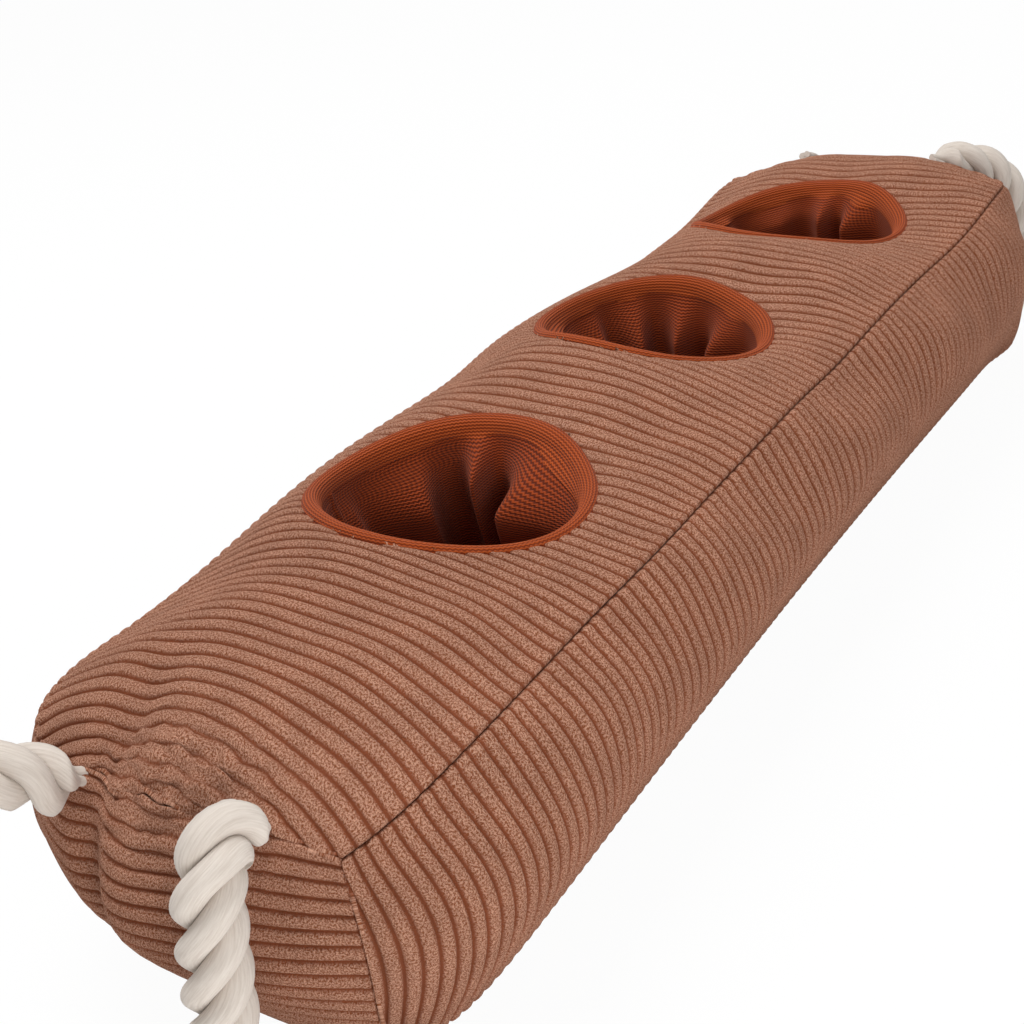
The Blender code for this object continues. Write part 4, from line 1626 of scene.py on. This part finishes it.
@dataclass(frozen=True)
class Stitching:
    """Thread stitches that follow a seam, with lengths in metres and their lean in radians."""

    pitch: float = 0.0030
    length: float = 0.0026
    thread: float = 0.0003
    lean: float = 0.5
    seed: int = 3
    inset: float = 0.0012
    path_points: int = 60
    bead_sides: int = 6

    def tree(self) -> bpy.types.NodeTree:
        """Build the node tree that sews stitches along a line of points.

        Returns:
            The tree, whose inputs are the sizes, the lean, the seed and the material.
        """
        tree = bpy.data.node_groups.new("sewn_stitches", "GeometryNodeTree")
        sockets = tree.interface
        sockets.new_socket(name="Seam", in_out="INPUT", socket_type="NodeSocketGeometry")
        for title in ("Pitch", "Stitch Length", "Thread Radius", "Lean"):
            sockets.new_socket(name=title, in_out="INPUT", socket_type="NodeSocketFloat")
        sockets.new_socket(name="Seed", in_out="INPUT", socket_type="NodeSocketInt")
        sockets.new_socket(name="Material", in_out="INPUT", socket_type="NodeSocketMaterial")
        sockets.new_socket(name="Stitches", in_out="OUTPUT", socket_type="NodeSocketGeometry")
        given = add_node(tree, "NodeGroupInput").outputs
        line = add_node(tree, "GeometryNodeMeshToCurve", None, {"Mesh": given["Seam"]})
        spots = add_node(tree, "GeometryNodeCurveToPoints", {"mode": "LENGTH"},
                         {"Curve": line.outputs[0], "Length": given["Pitch"]})
        stitch = add_node(tree, "GeometryNodeMeshUVSphere", None,
                          {"Segments": self.bead_sides, "Rings": self.bead_sides, "Radius": 1.0})
        half = add_node(tree, "ShaderNodeMath", {"operation": "MULTIPLY"},
                        {0: given["Stitch Length"], 1: 0.5})
        sizes = add_node(tree, "ShaderNodeCombineXYZ", None,
                         {"X": given["Thread Radius"], "Y": given["Thread Radius"],
                          "Z": half.outputs[0]})
        thread = add_node(tree, "GeometryNodeTransform", None,
                          {"Geometry": stitch.outputs["Mesh"], "Scale": sizes.outputs[0]})
        less = add_node(tree, "ShaderNodeMath", {"operation": "MULTIPLY"},
                        {0: given["Lean"], 1: -1.0})
        lean = add_node(tree, "FunctionNodeRandomValue", {"data_type": "FLOAT"},
                        {"Min": less.outputs[0], "Max": given["Lean"], "Seed": given["Seed"]})
        tipped = add_node(tree, "ShaderNodeCombineXYZ", None,
                          {"X": lean.outputs[RANDOM_NUMBER], "Y": lean.outputs[RANDOM_NUMBER]})
        turn = add_node(tree, "FunctionNodeEulerToRotation", None, {0: tipped.outputs[0]})
        turned = add_node(tree, "FunctionNodeRotateRotation", {"rotation_space": "LOCAL"},
                          {0: spots.outputs["Rotation"], 1: turn.outputs[0]})
        sewn = add_node(tree, "GeometryNodeInstanceOnPoints", None,
                        {"Points": spots.outputs["Points"], "Instance": thread.outputs[0],
                         "Rotation": turned.outputs[0]})
        whole = add_node(tree, "GeometryNodeRealizeInstances", None, {0: sewn.outputs[0]})
        dressed = add_node(tree, "GeometryNodeSetMaterial", None,
                           {"Geometry": whole.outputs[0], "Material": given["Material"]})
        add_node(tree, "NodeGroupOutput", None, {0: dressed.outputs[0]})
        return tree

    def sew(self, name: str, path: np.ndarray, tree: bpy.types.NodeTree,
            thread: bpy.types.Material) -> bpy.types.Object:
        """Sew a row of stitches along a path.

        Args:
            name: Name of the row.
            path: Points along the seam.
            tree: The node tree that makes the stitches.
            thread: The thread's material.

        Returns:
            The row's object.
        """
        made = lined_object(name, path, {})
        bake_nodes(made, tree, {"Pitch": self.pitch, "Stitch Length": self.length,
                                "Thread Radius": self.thread, "Lean": self.lean,
                                "Seed": self.seed, "Material": thread})
        settle_piece(made, thread, Body.COVER)
        return made


# Studio


@dataclass(frozen=True)
class PhotoCamera:
    """The camera of the photograph, fitted to the seams, pocket rims and silhouette.

    Angles are in degrees, places in metres and the sensor in millimetres.
    """

    azimuth: float = -53.5766
    elevation: float = 27.5702
    roll: float = 9.4848
    sideways: float = 0.0433035
    downwards: float = -0.0103009
    distance: float = 0.6425587
    focal_share: float = 1.63634542
    sensor: float = 36.0
    aim_z: float = 0.0475

    def build(self) -> bpy.types.Object:
        """Place the camera and make it the scene's own.

        Returns:
            The camera's object.
        """
        azimuth, elevation, roll = (math.radians(angle) for angle in
                                    (self.azimuth, self.elevation, self.roll))
        back = Vector((math.sin(azimuth) * math.cos(elevation),
                       -math.cos(azimuth) * math.cos(elevation), math.sin(elevation)))
        level_right = (-back).cross(Vector((0, 0, 1))).normalized()
        level_down = (-back).cross(level_right)
        right = math.cos(roll) * level_right + math.sin(roll) * level_down
        down = -math.sin(roll) * level_right + math.cos(roll) * level_down
        data = bpy.data.cameras.new("photo_camera")
        data.sensor_width = self.sensor
        data.lens = self.focal_share * self.sensor
        made = scene_object("photo_camera", data)
        place = back * self.distance - right * self.sideways - down * self.downwards
        turned = Matrix((right, -down, back)).transposed().to_4x4()
        made.matrix_world = Matrix.Translation(place + Vector((0, 0, self.aim_z))) @ turned
        bpy.context.scene.camera = made
        return made


@dataclass(frozen=True)
class SoftLamp:
    """A square studio softbox that looks at a point of the object."""

    name: str
    place: Point
    size: float
    watts: float
    aim: Point = (0.0, 0.0, 0.05)

    def build(self) -> None:
        """Hang the lamp."""
        data = bpy.data.lights.new(self.name, "AREA")
        data.shape = "SQUARE"
        data.size = self.size
        data.energy = self.watts
        made = scene_object(self.name, data)
        made.location = self.place
        gaze = Vector(self.aim) - Vector(self.place)
        made.rotation_euler = gaze.to_track_quat("-Z", "Y").to_euler()


@dataclass(frozen=True)
class Studio:
    """White sweep, even ambient light and two softboxes."""

    ambient: float = 0.42
    floor_half: float = 3.0
    floor_white_share: float = 0.96
    paper_colour: str = "#F4F4F4"
    lamps: tuple[SoftLamp, ...] = (
        SoftLamp("top_softbox", place=(0.05, 0.40, 1.30), size=0.9, watts=15.0),
        SoftLamp("front_softbox", place=(-0.56, -0.56, 0.24), size=0.38, watts=2.3,
                 aim=(-0.15, 0.0, 0.05)),
    )

    def _direct_rays(self, tree: bpy.types.NodeTree) -> bpy.types.NodeSocket:
        """Tell the rays that show a thing from those that only light the object.

        Args:
            tree: The node tree that needs to know.

        Returns:
            A socket that is 1 for camera, glossy and transmission rays, and 0 for others.
        """
        rays = add_node(tree, "ShaderNodeLightPath")
        seen = add_node(tree, "ShaderNodeMath", {"operation": "MAXIMUM"},
                        {0: rays.outputs["Is Camera Ray"], 1: rays.outputs["Is Glossy Ray"]})
        through = add_node(tree, "ShaderNodeMath", {"operation": "MAXIMUM"},
                           {0: seen.outputs[0], 1: rays.outputs["Is Transmission Ray"]})
        return through.outputs[0]

    def _world(self) -> None:
        """Make the world white to the camera and even grey to the object."""
        world = bpy.data.worlds.new("white_room")
        bpy.context.scene.world = world
        world.use_nodes = True
        tree = world.node_tree
        tree.nodes.clear()
        strength = add_node(tree, "ShaderNodeMapRange", None,
                            {"Value": self._direct_rays(tree), "To Min": self.ambient,
                             "To Max": 1.0})
        light = add_node(tree, "ShaderNodeBackground", None,
                         {"Color": WHITE, "Strength": strength.outputs[0]})
        add_node(tree, "ShaderNodeOutputWorld", None, {"Surface": light.outputs[0]})

    def _floor(self) -> None:
        """Lay the floor, white to the camera but for the object's faint shadow."""
        half = self.floor_half
        mesh = bpy.data.meshes.new("studio_floor")
        mesh.from_pydata([(-half, -half, 0), (half, -half, 0), (half, half, 0), (-half, half, 0)],
                         [], [(0, 1, 2, 3)])
        floor = scene_object("studio_floor", mesh)
        paint = bpy.data.materials.new("white_paper_sweep")
        paint.use_nodes = True
        tree = paint.node_tree
        tree.nodes.clear()
        white = add_node(tree, "ShaderNodeEmission", None, {"Color": WHITE, "Strength": 1.0})
        paper = add_node(tree, "ShaderNodeBsdfDiffuse", None, {"Color": linear(self.paper_colour)})
        share = add_node(tree, "ShaderNodeMath", {"operation": "MULTIPLY"},
                         {0: self._direct_rays(tree), 1: self.floor_white_share})
        both = add_node(tree, "ShaderNodeMixShader", None,
                        {0: share.outputs[0], 1: paper.outputs[0], 2: white.outputs[0]})
        add_node(tree, "ShaderNodeOutputMaterial", None, {"Surface": both.outputs[0]})
        mesh.materials.append(paint)

    def build(self) -> None:
        """Set up the studio and the camera."""
        bpy.context.scene.view_settings.view_transform = "Standard"
        PhotoCamera().build()
        self._world()
        self._floor()
        for lamp in self.lamps:
            lamp.build()


# The toy


LEFT_EXITS: tuple[Point, Point] = ((-0.25432, -0.0385, 0.08452), (-0.25432, 0.0255, 0.08452))
LEFT_ROUTE: tuple[Point, ...] = (
    (-0.2610, -0.0389, 0.0902), (-0.2685, -0.0390, 0.0925), (-0.2751, -0.0387, 0.0850),
    (-0.2793, -0.0383, 0.0668), (-0.2827, -0.0377, 0.0460), (-0.2885, -0.0364, 0.0278),
    (-0.3027, -0.0332, 0.0151), (-0.3260, -0.0265, 0.0099), (-0.3490, -0.0155, 0.0099),
    (-0.3655, 0.0025, 0.0099), (-0.3690, 0.0235, 0.0099), (-0.3600, 0.0415, 0.0099),
    (-0.3410, 0.0525, 0.0125), (-0.3225, 0.0565, 0.0270), (-0.3105, 0.0555, 0.0490),
    (-0.3020, 0.0515, 0.0710), (-0.2935, 0.0455, 0.0880), (-0.2827, 0.0375, 0.0988),
    (-0.2728, 0.0305, 0.0970), (-0.2635, 0.0273, 0.0891),
)
RIGHT_EXITS: tuple[Point, Point] = ((0.25471, -0.032, 0.09392), (0.25471, 0.032, 0.09392))
RIGHT_ROUTE: tuple[Point, ...] = (
    (0.2634, -0.0375, 0.0905), (0.2712, -0.0460, 0.0876), (0.2785, -0.0536, 0.0806),
    (0.2830, -0.0582, 0.0690), (0.2865, -0.0598, 0.0520), (0.2945, -0.0585, 0.0320),
    (0.3105, -0.0540, 0.0157), (0.3350, -0.0440, 0.0100), (0.3580, -0.0280, 0.0099),
    (0.3710, -0.0055, 0.0099), (0.3700, 0.0190, 0.0099), (0.3555, 0.0345, 0.0099),
    (0.3335, 0.0405, 0.0118), (0.3105, 0.0400, 0.0193), (0.2945, 0.0365, 0.0330),
    (0.2863, 0.0328, 0.0490), (0.2819, 0.0308, 0.0635), (0.2770, 0.0302, 0.0738),
    (0.2717, 0.0308, 0.0829), (0.2642, 0.0316, 0.0894),
)
RIGHT_NECK_SLOPES = (1.0, 0.25)
# For each end: its name, which end it is, and where the closing stitches start and stop
CLOSING_SEAMS = (("left", -1.0, -0.034, 0.024), ("right", 1.0, -0.030, 0.030))
# For each fold: its place in degrees, its widths before and after that, depth, start and reach
POCKET_FOLDS: tuple[tuple[Fold, ...], ...] = (
    (Fold(56, 9, 26, 0.015, 0.003, 0.022), Fold(20, 6, 8, 0.017, 0.003, 0.014),
     Fold(-24, 30, 22, 0.026, 0.003, 0.018), Fold(100, 7, 12, 0.006, 0.004, 0.020),
     Fold(124, 6, 9, 0.006, 0.004, 0.020),
     Fold(150, 20, 20, 0.010), Fold(200, 24, 25, 0.014), Fold(255, 20, 18, 0.013)),
    (Fold(66, 6, 12, 0.013, 0.003, 0.018), Fold(38, 7, 12, 0.015, 0.003, 0.018),
     Fold(8, 7, 10, 0.016, 0.003, 0.018), Fold(-24, 9, 13, 0.015, 0.003, 0.018),
     Fold(112, 22, 14, 0.026, 0.002, 0.016), Fold(188, 22, 20, 0.024, 0.002, 0.018),
     Fold(225, 25, 20, 0.013), Fold(290, 22, 22, 0.012)),
    (Fold(80, 8, 13, 0.016, 0.002, 0.014), Fold(38, 16, 18, 0.008, 0.002, 0.014),
     Fold(4, 6, 9, 0.015, 0.002, 0.014), Fold(-22, 8, 12, 0.015, 0.002, 0.014),
     Fold(118, 9, 13, 0.014, 0.002, 0.016), Fold(150, 12, 18, 0.013, 0.002, 0.016),
     Fold(200, 25, 22, 0.013), Fold(265, 22, 25, 0.013)),
)


@dataclass
class SnuffleBolster:
    """The whole toy: cover, pockets, rope loops and the visible thread."""

    form: CoverForm = field(default_factory=CoverForm)

    def build(self) -> None:
        """Build every part of the toy."""
        cotton = CottonRopeFinish().material()
        rope_tree = RopeLay().tree()
        RopeLoop("left_twisted_loop", "left_rope_loop", Body.LEFT_LOOP, *LEFT_EXITS,
                 LEFT_ROUTE).build(rope_tree, cotton)
        RopeLoop("right_twisted_loop", "right_rope_loop", Body.RIGHT_LOOP, *RIGHT_EXITS,
                 RIGHT_ROUTE, RIGHT_NECK_SLOPES).build(rope_tree, cotton)
        openings = tuple(Opening(x) for x in POCKET_PLACES)
        Cover(self.form, openings).build(CorduroyFinish().material(), FibreFinish().material())
        band = KnitFinish().material()
        # The wall and base get a darker copy of the knit, painted shade for the inside of the pockets
        sleeve = KnitFinish(title="rust_rib_knit_painted_shade", ridge_colour="#A04215",
                            furrow_shade_colour="#4E1604").material()
        for number, (x, folds) in enumerate(zip(POCKET_PLACES, POCKET_FOLDS), start=1):
            Pocket(number, x, self.form, folds).build(band, sleeve)
        self._sew_ends()

    def _sew_ends(self) -> None:
        """Sew the closing stitches along the seam between the ends of each loop."""
        stitching = Stitching()
        tree = stitching.tree()
        thread = ThreadFinish().material()
        for title, side, low, high in CLOSING_SEAMS:
            across = np.linspace(low, high, stitching.path_points) / (self.form.width / 2)
            path = self.form.point(np.full_like(across, side), across, np.ones_like(across),
                                   stitching.inset)
            stitching.sew(f"{title}_closing_stitches", path, tree, thread)


def main() -> None:
    """Build the studio and the toy."""
    logging.basicConfig(level=logging.INFO, format="%(name)s: %(message)s")
    Studio().build()
    SnuffleBolster().build()


if __name__ == "__main__":
    main()
